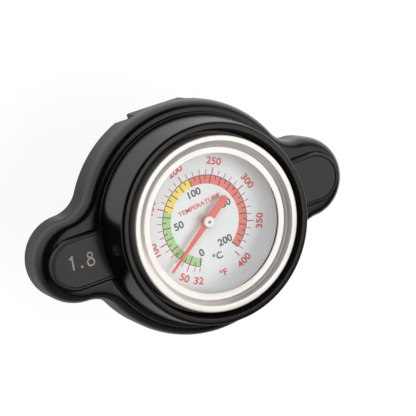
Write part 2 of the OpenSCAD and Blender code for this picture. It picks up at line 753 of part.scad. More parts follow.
module vacuum_spring() {
    color("lightgray") coil_spring(vacuum_spring_r, vacuum_wire, vacuum_turns,
        eyelet_top_z + spring_end_gap, clip_z - spring_end_gap, "vacuum spring");
}

cap_shell();
bayonet_cup();
centre_sleeve();
gauge_case();
bezel_ring();
lens_glass();
lens_gasket();
reflector_ring();
dial_plate();
gauge_o_ring();
arbor_bush();
probe_tube();
probe_tip();
bimetal_coil();
pointer_arbor();
pointer_needle();
pointer_cap();
spring_disc();
upper_gasket();
spring_seat();
pressure_spring();
valve_bell();
pressure_plate();
pressure_seal();
seal_eyelet();
vacuum_disc();
vacuum_clip();
vacuum_spring();
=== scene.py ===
"""Radiator cap gauge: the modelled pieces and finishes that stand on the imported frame.

Every size below is in millimetres in the row's frame: the origin is where the upper gasket meets
the filler neck, +Z points up through the dial and +X runs along the ears. A mesh becomes metres
when it is finished.
"""

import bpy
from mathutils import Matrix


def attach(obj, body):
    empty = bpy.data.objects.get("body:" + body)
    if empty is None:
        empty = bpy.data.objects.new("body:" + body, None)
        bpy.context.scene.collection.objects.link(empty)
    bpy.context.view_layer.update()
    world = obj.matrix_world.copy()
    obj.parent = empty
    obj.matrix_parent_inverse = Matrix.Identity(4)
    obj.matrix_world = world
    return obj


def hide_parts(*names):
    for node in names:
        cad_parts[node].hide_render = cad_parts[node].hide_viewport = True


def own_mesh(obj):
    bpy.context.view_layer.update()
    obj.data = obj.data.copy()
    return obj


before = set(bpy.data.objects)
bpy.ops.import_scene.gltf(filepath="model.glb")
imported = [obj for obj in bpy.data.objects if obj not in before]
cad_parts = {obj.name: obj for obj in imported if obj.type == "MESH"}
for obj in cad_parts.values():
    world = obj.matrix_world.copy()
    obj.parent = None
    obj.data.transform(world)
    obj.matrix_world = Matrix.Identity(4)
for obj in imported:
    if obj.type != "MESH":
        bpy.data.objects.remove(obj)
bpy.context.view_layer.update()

import logging
from collections.abc import Callable, Iterable
from dataclasses import dataclass
from enum import Enum
from functools import cache
from math import acos, atan2, cos, pi, radians, sin, sqrt, tan

import bmesh
import bpy
from bmesh.types import BMEdge, BMesh, BMVert
from bpy.types import NodeSocket
from mathutils import Matrix, Vector

logging.basicConfig(level=logging.INFO, format="%(message)s")
log = logging.getLogger("radiator_cap")

MM = 0.001
FULL_TURN = 2 * pi
# Points of a shape that lie nearer than this become one
MERGE = 0.00001
# The same for lettering, whose outlines are finer than what they need
LETTER_MERGE = 0.004
POINTER_ANGLE = 216.2
INK_T = 0.02


def srgb(red: float, green: float, blue: float) -> tuple[float, float, float, float]:
    """Turns a colour as it is seen into the linear colour that a shader takes.

    Args:
        red: Red from 0 to 255.
        green: Green from 0 to 255.
        blue: Blue from 0 to 255.

    Returns:
        The linear colour with an alpha of 1.
    """
    def linear(value: float) -> float:
        """Gives one linear channel."""
        part = value / 255
        return part / 12.92 if part <= 0.04045 else ((part + 0.055) / 1.055) ** 2.4

    return linear(red), linear(green), linear(blue), 1.0


class Tree:
    """Adds and links the nodes of one material, node group or world."""

    def __init__(self, tree: bpy.types.NodeTree) -> None:
        """Keeps the tree and empties it."""
        self.tree = tree
        tree.nodes.clear()

    def add(self, kind: str, inputs: dict | None = None, **settings: object) -> bpy.types.Node:
        """Adds a node, sets its options and fills or links its inputs.

        Args:
            kind: The node's type name.
            inputs: Socket name or number, and the value or the socket that feeds it.
            settings: The node's own options.

        Returns:
            The new node.
        """
        node = self.tree.nodes.new(kind)
        for option, value in settings.items():
            setattr(node, option, value)
        for socket, value in (inputs or {}).items():
            if isinstance(value, NodeSocket):
                self.tree.links.new(value, node.inputs[socket])
            else:
                node.inputs[socket].default_value = value
        return node

    def math(self, operation: str, *values: object) -> NodeSocket:
        """Adds a Math node and returns its result."""
        return self.add("ShaderNodeMath", dict(enumerate(values)), operation=operation).outputs[0]

    def fade(self, value: NodeSocket, start: float, end: float, low: float = 0.0,
             high: float = 1.0) -> NodeSocket:
        """Adds a smooth ramp.

        Args:
            value: What drives it.
            start: Value where the ramp starts.
            end: Value where it ends.
            low: Result up to the start.
            high: Result from the end on.

        Returns:
            The ramp's result.
        """
        inputs = {"Value": value, "From Min": start, "From Max": end, "To Min": low, "To Max": high}
        return self.add("ShaderNodeMapRange", inputs, interpolation_type="SMOOTHSTEP").outputs[0]

    def vector(self, operation: str, *values: object) -> NodeSocket:
        """Adds a Vector Math node and returns its result."""
        outputs = self.add("ShaderNodeVectorMath", dict(enumerate(values)), operation=operation).outputs
        return outputs["Value" if operation in ("DOT_PRODUCT", "LENGTH") else "Vector"]

    def seen(self) -> NodeSocket:
        """Gives 1 to what the camera sees, also through the glass, and 0 to all other light."""
        ray = self.add("ShaderNodeLightPath").outputs
        return self.math("MAXIMUM", ray["Is Camera Ray"], ray["Is Transmission Ray"])


def new_material(name: str) -> tuple[bpy.types.Material, Tree]:
    """Makes a material and returns it with its empty tree."""
    material = bpy.data.materials.new(name)
    material.use_nodes = True
    return material, Tree(material.node_tree)


class Relief(Enum):
    """Kinds of fine surface relief. Each is a node group that gives a height and a mask."""

    PEEL = "sprayed paint or moulded skin"
    TURNED = "rings left by a lathe or a polishing wheel"
    ROLLED = "rolled sheet"


@cache
def relief_group(relief: Relief) -> bpy.types.NodeTree:
    """Builds the node group of one relief, once.

    Args:
        relief: The kind of relief.

    Returns:
        A group with the input Scale, in marks a metre, and the outputs Height and Mask.
    """
    group = bpy.data.node_groups.new("relief_" + relief.name.lower(), "ShaderNodeTree")
    group.interface.new_socket("Scale", in_out="INPUT", socket_type="NodeSocketFloat")
    group.interface.new_socket("Height", in_out="OUTPUT", socket_type="NodeSocketFloat")
    group.interface.new_socket("Mask", in_out="OUTPUT", socket_type="NodeSocketFloat")
    tree = Tree(group)
    scale = tree.add("NodeGroupInput").outputs["Scale"]
    place = tree.add("ShaderNodeTexCoord").outputs["Object"]
    if relief is Relief.TURNED:
        parts = tree.add("ShaderNodeSeparateXYZ", {0: place})
        square = tree.math("ADD", tree.math("POWER", parts.outputs["X"], 2.0),
                           tree.math("POWER", parts.outputs["Y"], 2.0))
        along = tree.add("ShaderNodeCombineXYZ",
                         {"X": tree.math("SQRT", square), "Y": parts.outputs["Z"]}).outputs[0]
    elif relief is Relief.ROLLED:
        along = tree.add("ShaderNodeMapping", {"Vector": place, "Scale": (0.06, 1.0, 1.0)}).outputs[0]
    else:
        along = place
    marks = tree.add("ShaderNodeTexNoise",
                     {"Vector": along, "Scale": scale, "Detail": 3.0, "Roughness": 0.55}).outputs["Fac"]
    clouds = tree.add("ShaderNodeTexNoise",
                      {"Vector": place, "Scale": tree.math("MULTIPLY", scale, 0.07), "Detail": 2.0})
    mask = tree.math("MULTIPLY_ADD", marks, 0.4, tree.math("MULTIPLY", clouds.outputs["Fac"], 0.6))
    tree.add("NodeGroupOutput", {"Height": marks, "Mask": mask})
    return group


@dataclass(frozen=True)
class Finish:
    """An opaque finish with a fine relief.

    Attributes:
        name: The material's name.
        slot: The record's material slot.
        colour: The main colour, linear.
        shade: The colour that the mask mixes in.
        roughness: Roughness where the mask is low.
        spread: How much roughness the mask adds.
        relief: The kind of fine relief.
        scale: Marks of the relief in a metre.
        depth: Depth of the relief in millimetres.
        metallic: 1 for bare metal.
        specular: The shader's specular level.
        ior: Index of refraction.
    """

    name: str
    slot: str
    colour: tuple
    shade: tuple
    roughness: float
    spread: float
    relief: Relief
    scale: float
    depth: float
    metallic: float = 0.0
    specular: float = 0.5
    ior: float = 1.5

    @cache
    def material(self) -> bpy.types.Material:
        """Builds the material, once.

        Returns:
            The material.
        """
        material, tree = new_material(self.name)
        relief = tree.add("ShaderNodeGroup", {"Scale": self.scale},
                          node_tree=relief_group(self.relief))
        mask = tree.add("ShaderNodeMapRange", {"Value": relief.outputs["Mask"], "From Min": 0.35,
                                               "From Max": 0.65})
        colour = tree.add("ShaderNodeMix", {"Factor": mask.outputs[0], "A": self.colour,
                                            "B": self.shade}, data_type="RGBA")
        roughness = tree.math("MULTIPLY_ADD", mask.outputs[0], self.spread, self.roughness)
        bump = tree.add("ShaderNodeBump", {"Strength": 1.0, "Distance": self.depth * MM,
                                           "Height": relief.outputs["Height"]})
        shader = tree.add("ShaderNodeBsdfPrincipled", {
            "Base Color": colour.outputs["Result"], "Roughness": roughness,
            "Normal": bump.outputs["Normal"], "Metallic": self.metallic,
            "Specular IOR Level": self.specular, "IOR": self.ior})
        tree.add("ShaderNodeOutputMaterial", {"Surface": shader.outputs[0]})
        return material


@dataclass(frozen=True)
class Glass:
    """Clear flat glass that lets the light through to the dial."""

    name: str = "clear_glass"
    slot: str = "lens"
    ior: float = 1.28
    colour: tuple = (0.97, 0.98, 0.98, 1.0)

    def material(self) -> bpy.types.Material:
        """Builds the glass: it refracts what the camera sees and lets all light straight through."""
        material, tree = new_material(self.name)
        glass = tree.add("ShaderNodeBsdfPrincipled", {
            "Base Color": self.colour, "Roughness": 0.0, "IOR": self.ior, "Transmission Weight": 1.0})
        clear = tree.add("ShaderNodeBsdfTransparent", {"Color": self.colour})
        mixed = tree.add("ShaderNodeMixShader",
                         {0: tree.seen(), 1: clear.outputs[0], 2: glass.outputs[0]})
        tree.add("ShaderNodeOutputMaterial", {"Surface": mixed.outputs[0]})
        return material


BLACK_PAINT = Finish("gloss_black", "black_paint", srgb(8, 7, 7), srgb(12, 11, 10), 0.17, 0.06,
                     Relief.PEEL, 900, 0.002)
PAD_BLACK = Finish("pad_black", "black_paint", srgb(28, 27, 27), srgb(33, 32, 31), 0.2, 0.06,
                   Relief.PEEL, 900, 0.002)
NUMBER_GREY = Finish("number_grey", "black_paint", srgb(165, 160, 156), srgb(140, 136, 132), 0.4, 0.2,
                     Relief.PEEL, 5000, 0.01)
BEZEL_STEEL = Finish("polished_steel", "polished_bezel", srgb(243, 239, 236), srgb(236, 232, 228),
                     0.2, 0.05, Relief.TURNED, 1800, 0.0002, metallic=0.68)
SHEET_STEEL = Finish("plain_sheet", "pressed_steel", srgb(205, 202, 196), srgb(186, 182, 175),
                     0.24, 0.14, Relief.ROLLED, 1500, 0.0009, metallic=1.0)
CASE_STEEL = Finish("drawn_steel", "case_steel", srgb(180, 179, 176), srgb(160, 159, 156), 0.3, 0.15,
                    Relief.TURNED, 1400, 0.001, metallic=1.0)
SPRING_STEEL = Finish("tempered_steel", "spring_steel", srgb(176, 175, 173), srgb(150, 149, 147),
                      0.22, 0.14, Relief.PEEL, 1600, 0.001, metallic=1.0)
BRASS = Finish("turned_brass", "brass", srgb(222, 190, 120), srgb(200, 164, 92), 0.22, 0.16,
               Relief.TURNED, 1500, 0.001, metallic=1.0)
BIMETAL = Finish("bimetal_strip", "bimetal", srgb(190, 165, 130), srgb(165, 150, 130), 0.3, 0.1,
                 Relief.ROLLED, 2600, 0.002, metallic=1.0)
DIAL_WHITE = Finish("dial_enamel", "dial_white", srgb(233, 233, 233), srgb(229, 229, 230), 0.5, 0.1,
                    Relief.PEEL, 2500, 0.003)
COVE_WHITE = Finish("white_moulding", "white_plastic", srgb(240, 240, 241), srgb(236, 236, 237),
                    0.42, 0.12, Relief.PEEL, 1500, 0.005)
POINTER_RED = Finish("needle_red", "pointer_red", srgb(233, 118, 104), srgb(227, 110, 97), 0.4, 0.1,
                     Relief.PEEL, 3000, 0.003)
HUB_SILVER = Finish("cap_silver", "hub_silver", srgb(252, 248, 241), srgb(248, 243, 235), 0.35, 0.12,
                    Relief.TURNED, 6000, 0.002, metallic=0.2)
HUB_MARK = Finish("cap_mark", "hub_silver", srgb(176, 166, 158), srgb(164, 154, 146), 0.5, 0.1,
                  Relief.TURNED, 6000, 0.002)
RUBBER = Finish("soft_rubber", "black_rubber", srgb(34, 34, 35), srgb(46, 46, 46), 0.5, 0.2,
                Relief.PEEL, 1600, 0.01)
INK_RED = Finish("ink_red", "dial_white", srgb(222, 92, 88), srgb(214, 84, 80), 0.5, 0.1,
                 Relief.PEEL, 5000, 0.002)
INK_DARK = Finish("ink_dark", "dial_white", srgb(70, 70, 72), srgb(84, 84, 84), 0.5, 0.1,
                  Relief.PEEL, 5000, 0.002)
BAND_RED = Finish("band_red", "dial_white", srgb(232, 130, 120), srgb(226, 124, 114), 0.5, 0.1,
                  Relief.PEEL, 4000, 0.002)
BAND_YELLOW = Finish("band_yellow", "dial_white", srgb(248, 219, 110), srgb(243, 212, 104), 0.5, 0.1,
                     Relief.PEEL, 4000, 0.002)
BAND_GREEN = Finish("band_green", "dial_white", srgb(180, 212, 147), srgb(174, 206, 141), 0.5, 0.1,
                    Relief.PEEL, 4000, 0.002)


class Outline:
    """A run of points, each a distance from the axis and a height, whose corners may be rounded."""

    ROUND_STEPS = 5
    GUARD = 0.06

    def __init__(self) -> None:
        """Starts an empty run."""
        self.corners: list[tuple[float, float, float]] = []

    def to(self, r: float, z: float, rounding: float = 0.0) -> "Outline":
        """Adds a corner with a radius and returns the run."""
        self.corners.append((r, z, rounding))
        return self

    def arc(self, r: float, z: float, reach: float, rise: float, start: float, end: float,
            steps: int = 16) -> "Outline":
        """Adds the points of an elliptical arc.

        Args:
            r: The centre's distance from the axis.
            z: The centre's height.
            reach: The arc's half width.
            rise: The arc's half height.
            start: First angle in degrees, from outwards.
            end: Last angle in degrees.
            steps: Number of straight pieces.

        Returns:
            The run itself.
        """
        for i in range(steps + 1):
            turn = radians(start + (end - start) * i / steps)
            self.to(r + reach * cos(turn), z + rise * sin(turn))
        return self

    def points(self, closed: bool) -> list[tuple[float, float]]:
        """Works out the run with its rounded corners.

        Each rounded corner gets a guard point on both sides, so that the flats stay flat when
        they are shaded smooth.

        Args:
            closed: True if the run's end meets its start.

        Returns:
            The points in order.
        """
        out: list[tuple[float, float]] = []
        count = len(self.corners)
        for i, (r, z, rounding) in enumerate(self.corners):
            if rounding <= 0 or (not closed and i in (0, count - 1)):
                out.append((r, z))
                continue
            here = Vector((r, z))
            before = Vector(self.corners[i - 1][:2]) - here
            after = Vector(self.corners[(i + 1) % count][:2]) - here
            half = acos(max(-1, min(1, before.normalized().dot(after.normalized())))) / 2
            cut = min(rounding / tan(half), 0.45 * min(before.length, after.length))
            radius = cut * tan(half)
            centre = here + (before.normalized() + after.normalized()).normalized() * radius / sin(half)
            first = here + before.normalized() * cut - centre
            last = here + after.normalized() * cut - centre
            guard_in = min(self.GUARD, 0.2 * (before.length - cut))
            guard_out = min(self.GUARD, 0.2 * (after.length - cut))
            out.append(tuple(here + before.normalized() * (cut + guard_in)))
            for k in range(self.ROUND_STEPS + 1):
                out.append(tuple(centre + first.slerp(last, k / self.ROUND_STEPS) * radius))
            out.append(tuple(here + after.normalized() * (cut + guard_out)))
        return out

    def turned(self, closed: bool = True, steps: int = 144, start: float = 0.0,
               angle: float = FULL_TURN) -> BMesh:
        """Turns the run about the Z axis.

        Args:
            closed: True for a ring's section, False for a run that ends on the axis.
            steps: Number of steps round.
            start: Direction in which a part turn starts, in radians from +X.
            angle: The turn in radians.

        Returns:
            The turned mesh, with closed ends.
        """
        bm = bmesh.new()
        verts = [bm.verts.new((r, 0, z)) for r, z in self.points(closed)]
        last = verts[1:] + verts[:1] if closed else verts[1:]
        edges = [bm.edges.new(pair) for pair in zip(verts, last)]
        bmesh.ops.rotate(bm, verts=verts, matrix=Matrix.Rotation(start, 3, "Z"))
        bmesh.ops.spin(bm, geom=verts + edges, axis=(0, 0, 1), angle=angle, steps=steps,
                       use_merge=angle >= FULL_TURN, use_duplicate=False)
        bmesh.ops.remove_doubles(bm, verts=bm.verts, dist=MERGE)
        if angle < FULL_TURN:
            bmesh.ops.holes_fill(bm, edges=bm.edges)
        bmesh.ops.recalc_face_normals(bm, faces=bm.faces)
        return bm


def ring_section(inner: float, outer: float, low: float, high: float, rounding: float) -> Outline:
    """Gives the rounded rectangle that is a flat ring's section.

    Args:
        inner: Inner radius.
        outer: Outer radius.
        low: Lower height.
        high: Upper height.
        rounding: Radius of the four corners.

    Returns:
        The section, to be turned closed.
    """
    return (Outline().to(inner, low, rounding).to(outer, low, rounding)
            .to(outer, high, rounding).to(inner, high, rounding))


def lofted(loops: list[list[Vector]], closed: bool) -> BMesh:
    """Grows a skin from loop to loop.

    Args:
        loops: Loops with one number of points, which stay in step.
        closed: True if the last loop meets the first. Otherwise both ends are filled flat.

    Returns:
        The closed skin.
    """
    bm = bmesh.new()
    order = bm.verts.layers.int.new("order")
    for i, vert in enumerate(bmesh.ops.create_circle(bm, segments=len(loops[0]), radius=1.0)["verts"]):
        vert[order] = i
        vert.co = loops[0][i]
    edges = list(bm.edges)
    for loop in loops[1:] + loops[:1] * closed:
        grown = bmesh.ops.extrude_edge_only(bm, edges=edges)["geom"]
        edges = [g for g in grown if isinstance(g, BMEdge)]
        for vert in {v for e in edges for v in e.verts}:
            vert.co = loop[vert[order]]
    if closed:
        bmesh.ops.remove_doubles(bm, verts=bm.verts, dist=MERGE)
    else:
        bmesh.ops.holes_fill(bm, edges=bm.edges)
    bmesh.ops.recalc_face_normals(bm, faces=bm.faces)
    return bm


def pin_section(r: float, low: float, high: float) -> Outline:
    """Gives the section of a plain pin on the axis, to be turned open."""
    return Outline().to(0, low).to(r, low).to(r, high).to(0, high)


def turned_by(bm: BMesh, degrees: float) -> BMesh:
    """Turns a mesh about the Z axis and returns it."""
    bmesh.ops.rotate(bm, matrix=Matrix.Rotation(radians(degrees), 3, "Z"), verts=bm.verts)
    return bm


def moved_by(bm: BMesh, x: float, y: float, z: float = 0.0) -> BMesh:
    """Moves a mesh and returns it."""
    bmesh.ops.translate(bm, vec=(x, y, z), verts=bm.verts)
    return bm


def raised(bm: BMesh, height: float) -> BMesh:
    """Grows the flat faces of a mesh upwards into solids and returns the mesh."""
    grown = bmesh.ops.extrude_face_region(bm, geom=list(bm.faces))["geom"]
    bmesh.ops.translate(bm, vec=(0, 0, height), verts=[g for g in grown if isinstance(g, BMVert)])
    bmesh.ops.recalc_face_normals(bm, faces=bm.faces)
    return bm


def to_mesh(bm: BMesh, name: str) -> bpy.types.Mesh:
    """Writes a working mesh to a new mesh and frees it."""
    mesh = bpy.data.meshes.new(name)
    bm.to_mesh(mesh)
    bm.free()
    return mesh


def placed(name: str, data: bpy.types.ID) -> bpy.types.Object:
    """Makes an object and links it to the scene."""
    obj = bpy.data.objects.new(name, data)
    bpy.context.scene.collection.objects.link(obj)
    return obj


def add_mesh(target: BMesh, source: BMesh) -> None:
    """Adds one mesh to another and frees the added one."""
    mesh = to_mesh(source, "joined")
    target.from_mesh(mesh)
    bpy.data.meshes.remove(mesh)


def both_sides(make: Callable[[], BMesh]) -> BMesh:
    """Makes a mesh twice, the second time on the cap's other side, and joins the two."""
    bm = make()
    add_mesh(bm, turned_by(make(), 180))
    return bm


def cut(base: BMesh, tool: BMesh, operation: str) -> BMesh:
    """Combines two closed meshes with an exact boolean.

    Args:
        base: The mesh that is worked on.
        tool: The mesh that is added, taken away or kept in common.
        operation: UNION, DIFFERENCE or INTERSECT.

    Returns:
        The new mesh. The two old ones are freed.
    """
    objects = [placed("boolean", to_mesh(bm, "boolean")) for bm in (base, tool)]
    modifier = objects[0].modifiers.new("boolean", "BOOLEAN")
    modifier.operation = operation
    modifier.solver = "EXACT"
    modifier.object = objects[1]
    graph = bpy.context.evaluated_depsgraph_get()
    result = bmesh.new()
    result.from_object(objects[0], graph)
    for obj in objects:
        mesh = obj.data
        bpy.data.objects.remove(obj)
        bpy.data.meshes.remove(mesh)
    bmesh.ops.remove_doubles(result, verts=result.verts, dist=MERGE)
    bmesh.ops.dissolve_degenerate(result, dist=MERGE, edges=result.edges)
    return result


def block(size: tuple[float, float, float], centre: tuple[float, float, float],
          rounding: float) -> BMesh:
    """Makes a block with rounded edges.

    Args:
        size: Its three lengths.
        centre: Its middle.
        rounding: Radius of every edge.

    Returns:
        The mesh.
    """
    bm = bmesh.new()
    bmesh.ops.create_cube(bm, size=1.0)
    bmesh.ops.scale(bm, vec=size, verts=bm.verts)
    bmesh.ops.translate(bm, vec=centre, verts=bm.verts)
    if rounding:
        bmesh.ops.bevel(bm, geom=list(bm.edges), offset=rounding, segments=3, profile=0.5,
                        affect="EDGES", material=-1)
    return bm


def lettering(text: str, height: float, place: tuple[float, float], direction: float, z: float,
              wide: float, weight: float) -> BMesh:
    """Makes flat lettering as solids as thick as ink.

    Args:
        text: What it says.
        height: Height of the letters.
        place: Middle of the text in plan.
        direction: Reading direction in degrees from +X.
        z: Height of its underside.
        wide: Width of the letters as a share of the font's.
        weight: Widening of every stroke, as a share of the text's size.

    Returns:
        The mesh.
    """
    curve = bpy.data.curves.new("lettering", "FONT")
    curve.body = text
    curve.offset = weight
    curve.resolution_u = 5
    obj = placed("lettering", curve)
    mesh = bpy.data.meshes.new_from_object(obj.evaluated_get(bpy.context.evaluated_depsgraph_get()))
    bm = bmesh.new()
    bm.from_mesh(mesh)
    bpy.data.meshes.remove(mesh)
    bpy.data.objects.remove(obj)
    bpy.data.curves.remove(curve)
    xs = [v.co.x for v in bm.verts]
    ys = [v.co.y for v in bm.verts]
    size = height / (max(ys) - min(ys))
    middle = Vector(((max(xs) + min(xs)) / 2, (max(ys) + min(ys)) / 2, 0))
    bmesh.ops.translate(bm, vec=-middle, verts=bm.verts)
    bmesh.ops.scale(bm, vec=(size * wide, size, 1), verts=bm.verts)
    bmesh.ops.remove_doubles(bm, verts=bm.verts, dist=LETTER_MERGE)
    bmesh.ops.dissolve_degenerate(bm, dist=LETTER_MERGE, edges=bm.edges)
    return raised(moved_by(turned_by(bm, direction), *place, z), INK_T)


@dataclass
class Assembly:
    """A group of pieces that ride on one body."""

    body: str = "cap"

    def piece(self, bm: BMesh, name: str, finishes: Iterable[Finish | Glass],
              nodes: Iterable[str] = (), sharp: float = 40.0) -> bpy.types.Object:
        """Finishes a mesh as a piece of the object.

        Args:
            bm: The mesh in millimetres, which is freed.
            name: The piece's name.
            finishes: The finishes, in the order of the faces' material numbers.
            nodes: The frame's nodes that the piece stands for.
            sharp: Edges that turn more than this many degrees stay sharp.

        Returns:
            The piece.
        """
        bmesh.ops.scale(bm, vec=(MM, MM, MM), verts=bm.verts)
        mesh = to_mesh(bm, name)
        mesh.shade_smooth()
        mesh.set_sharp_from_angle(angle=radians(sharp))
        finishes = list(finishes)
        for finish in finishes:
            mesh.materials.append(finish.material())
        obj = placed(name, mesh)
        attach(obj, self.body)
        if nodes:
            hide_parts(*nodes)
        log.info("%s: %d faces, rides on %s", name, len(mesh.polygons), self.body)
        return obj


@dataclass
class CapShell(Assembly):
    """The black shell: round body, two ears with raised pads, drum and the hollow inside."""

    body_r: float = 22.5
    ear_x: float = 24.5
    ear_r: float = 8.0
    ear_slope: float = 0.7
    blend_r: float = 6.0
    skirt_z: float = -4.3
    rim_r: float = 0.3
    shoulder_z: float = 0.2
    shoulder_in: float = 1.65
    flange_in: float = 1.95
    flange_rise: float = 0.025
    flange_z: float = 4.0
    drum_foot_r: float = 19.8
    foot_round: float = 0.6
    drum_top_r: float = 18.75
    lip_z: float = 12.3
    lip_round: float = 0.6
    lip_w: float = 1.35
    groove_w: float = 0.4
    groove_z: float = 9.2
    pocket_r: float = 16.49
    pocket_z: float = 8.5
    chamber_r: float = 15.15
    chamber_z: float = 4.2
    recess_r: float = 5.7
    recess_z: float = 3.6
    hole_r: float = 4.25
    ceiling_z: float = 2.6
    bore_r: float = 20.1
    pad_x: float = 25.5
    pad_start_x: float = 18.0
    pad_half: float = 4.6
    pad_h: float = 1.0
    pad_slope: float = 0.5
    pad_rim: float = 0.35
    pad_sink: float = 0.2
    flat_half: float = 8.3
    flat_y: float = 20.9
    flat_h: float = 4.0
    flat_pad_half: float = 5.5
    flat_pad_y: float = 21.85
    number_place: tuple = (-24.42, 0.33)
    number_turn: float = -5.0
    number_stroke: float = 0.36
    number_depth: float = 0.1
    guard: float = 0.06

    def plan(self, inset: float) -> list[Vector]:
        """Gives the shell's outline in plan, moved inwards, and further at the ears' ends.

        Args:
            inset: How far inwards.

        Returns:
            Points in order round the cap. The same number comes back for every inset, and a
            point keeps its place in the list.
        """
        body, ear = self.body_r + self.blend_r, self.ear_r + self.blend_r
        ear_x = self.ear_x - self.ear_slope * inset / self.shoulder_in
        x = (body ** 2 - ear ** 2 + ear_x ** 2) / (2 * ear_x)
        y = sqrt(body ** 2 - x ** 2)
        ear_turn = atan2(y, x - ear_x)
        body_turn = atan2(y, x)

        def arc(centre: tuple[float, float], r: float, start: float, end: float,
                steps: int) -> list[Vector]:
            """Gives an arc's points without its last one."""
            turns = [start + (end - start) * i / steps for i in range(steps)]
            return [Vector((centre[0] + r * cos(t), centre[1] + r * sin(t), 0)) for t in turns]

        ear_arc = arc((ear_x, 0), self.ear_r - inset, -ear_turn, ear_turn, 72)
        blend = self.blend_r + inset
        near = arc((x, y), blend, ear_turn + pi, body_turn + pi, 24)
        top = arc((0, 0), self.body_r - inset, body_turn, pi - body_turn, 168)
        far = arc((-x, y), blend, -body_turn, -ear_turn, 24)
        half = ear_arc + near + top + far
        return half + [-p for p in half]

    def levels(self) -> list[list[Vector]]:
        """Gives the loops of the shell, from the skirt's inside edge round the outside and back.

        Returns:
            One list of points for each loop, all of one length.
        """
        turns = [atan2(p.y, p.x) for p in self.plan(self.shoulder_in)]

        def at_plan(inset: float, z: float) -> list[Vector]:
            """A loop that follows the outline."""
            return [Vector((p.x, p.y, z)) for p in self.plan(inset)]

        def at_round(r: float, z: float) -> list[Vector]:
            """A round loop."""
            return [Vector((r * cos(t), r * sin(t), z)) for t in turns]

        rim = Outline().arc(self.rim_r, self.skirt_z + self.rim_r, -self.rim_r, self.rim_r, 270, 360, 6)
        shoulder_top = self.flange_z - self.flange_rise
        shoulder = Outline().arc(self.shoulder_in, self.shoulder_z, -self.shoulder_in,
                                 shoulder_top - self.shoulder_z, 0, 90, 18)
        outside = [(self.rim_r + self.guard, self.skirt_z)]
        outside += [c[:2] for c in rim.corners]
        outside += [(0, self.skirt_z + self.rim_r + self.guard), (0, self.shoulder_z - self.guard)]
        outside += [c[:2] for c in shoulder.corners]
        outside.append((self.flange_in, self.flange_z))
        loops = [at_plan(inset, z) for inset, z in outside]
        lip_bore = self.drum_top_r - self.lip_w
        inside = (Outline().to(self.drum_foot_r + self.foot_round + self.guard, self.flange_z)
                  .arc(self.drum_foot_r + self.foot_round, self.flange_z + self.foot_round,
                       self.foot_round, self.foot_round, 270, 189.6, 8)
                  .arc(self.drum_top_r - self.lip_round, self.lip_z - self.lip_round,
                       self.lip_round, self.lip_round, 9.6, 90, 10)
                  .to(lip_bore, self.lip_z, 0.15).to(lip_bore - self.groove_w, self.groove_z, 0.2)
                  .to(self.pocket_r, self.groove_z).to(self.pocket_r, self.pocket_z)
                  .to(self.chamber_r, self.pocket_z).to(self.chamber_r, self.chamber_z)
                  .to(self.recess_r, self.chamber_z).to(self.recess_r, self.recess_z)
                  .to(self.hole_r, self.recess_z).to(self.hole_r, self.ceiling_z)
                  .to(self.bore_r, self.ceiling_z, 0.3).to(self.bore_r, self.skirt_z, 0.15)
                  .to(self.bore_r + self.rim_r, self.skirt_z))
        return loops + [at_round(r, z) for r, z in inside.points(False)]

    def pad(self) -> BMesh:
        """Draws the raised pad of the +X ear, with its rim and sunk face."""
        top = self.flange_z + self.pad_h
        wall = (Outline().to(-self.pad_slope, self.flange_z - 0.5).to(-self.pad_slope, self.flange_z)
                .to(0, top, 0.12).to(self.pad_rim, top, 0.07)
                .to(self.pad_rim + 0.1, top - self.pad_sink, 0.07).to(1.0, top - self.pad_sink))
        steps = 48
        loops = []
        for inset, z in wall.points(False):
            half = self.pad_half - inset
            loop = [Vector((self.pad_x + half * sin(pi * i / steps), -half * cos(pi * i / steps), z))
                    for i in range(steps + 1)]
            loop += [Vector((self.pad_start_x, half, z)), Vector((self.pad_start_x, -half, z))]
            loops.append(loop)
        return lofted(loops, False)

    def flat(self) -> BMesh:
        """Draws the block that cuts the skirt's +Y flat and leaves its pad."""
        bm = bmesh.new()
        far = self.body_r + 1
        half = [(self.flat_half, far), (self.flat_half, self.flat_y), (self.flat_pad_half, self.flat_y),
                (self.flat_pad_half, self.flat_pad_y)]
        plan = half + [(-x, y) for x, y in reversed(half)]
        bm.faces.new([bm.verts.new((x, y, self.skirt_z - 1)) for x, y in plan])
        return raised(bm, self.flat_h + 1)

    def number(self, floor_z: float) -> BMesh:
        """Draws the cutter of the rating number 1.8, as a round tool would engrave it.

        Args:
            floor_z: Height of the engraving's floor.

        Returns:
            The cutter.
        """
        deep = (floor_z, floor_z + 1)
        stroke = self.number_stroke
        stem = block((stroke, 2.65, 1), (-1.72, 0.02, floor_z + 0.5), 0)
        flag = turned_by(block((0.95, stroke, 1), (-0.42, -stroke / 2, floor_z + 0.5), 0), 30)
        tool = cut(stem, moved_by(flag, -1.6, 1.34), "UNION")
        bowls = [moved_by(ring_section(r - stroke, r, *deep, 0).turned(steps=40), 1.72, y)
                 for y, r in ((0.72, 0.65), (-0.58, 0.83))]
        add_mesh(tool, cut(*bowls, "UNION"))
        add_mesh(tool, moved_by(pin_section(0.27, *deep).turned(False, steps=24), -0.1, -1.05))
        return moved_by(turned_by(tool, self.number_turn), *self.number_place)

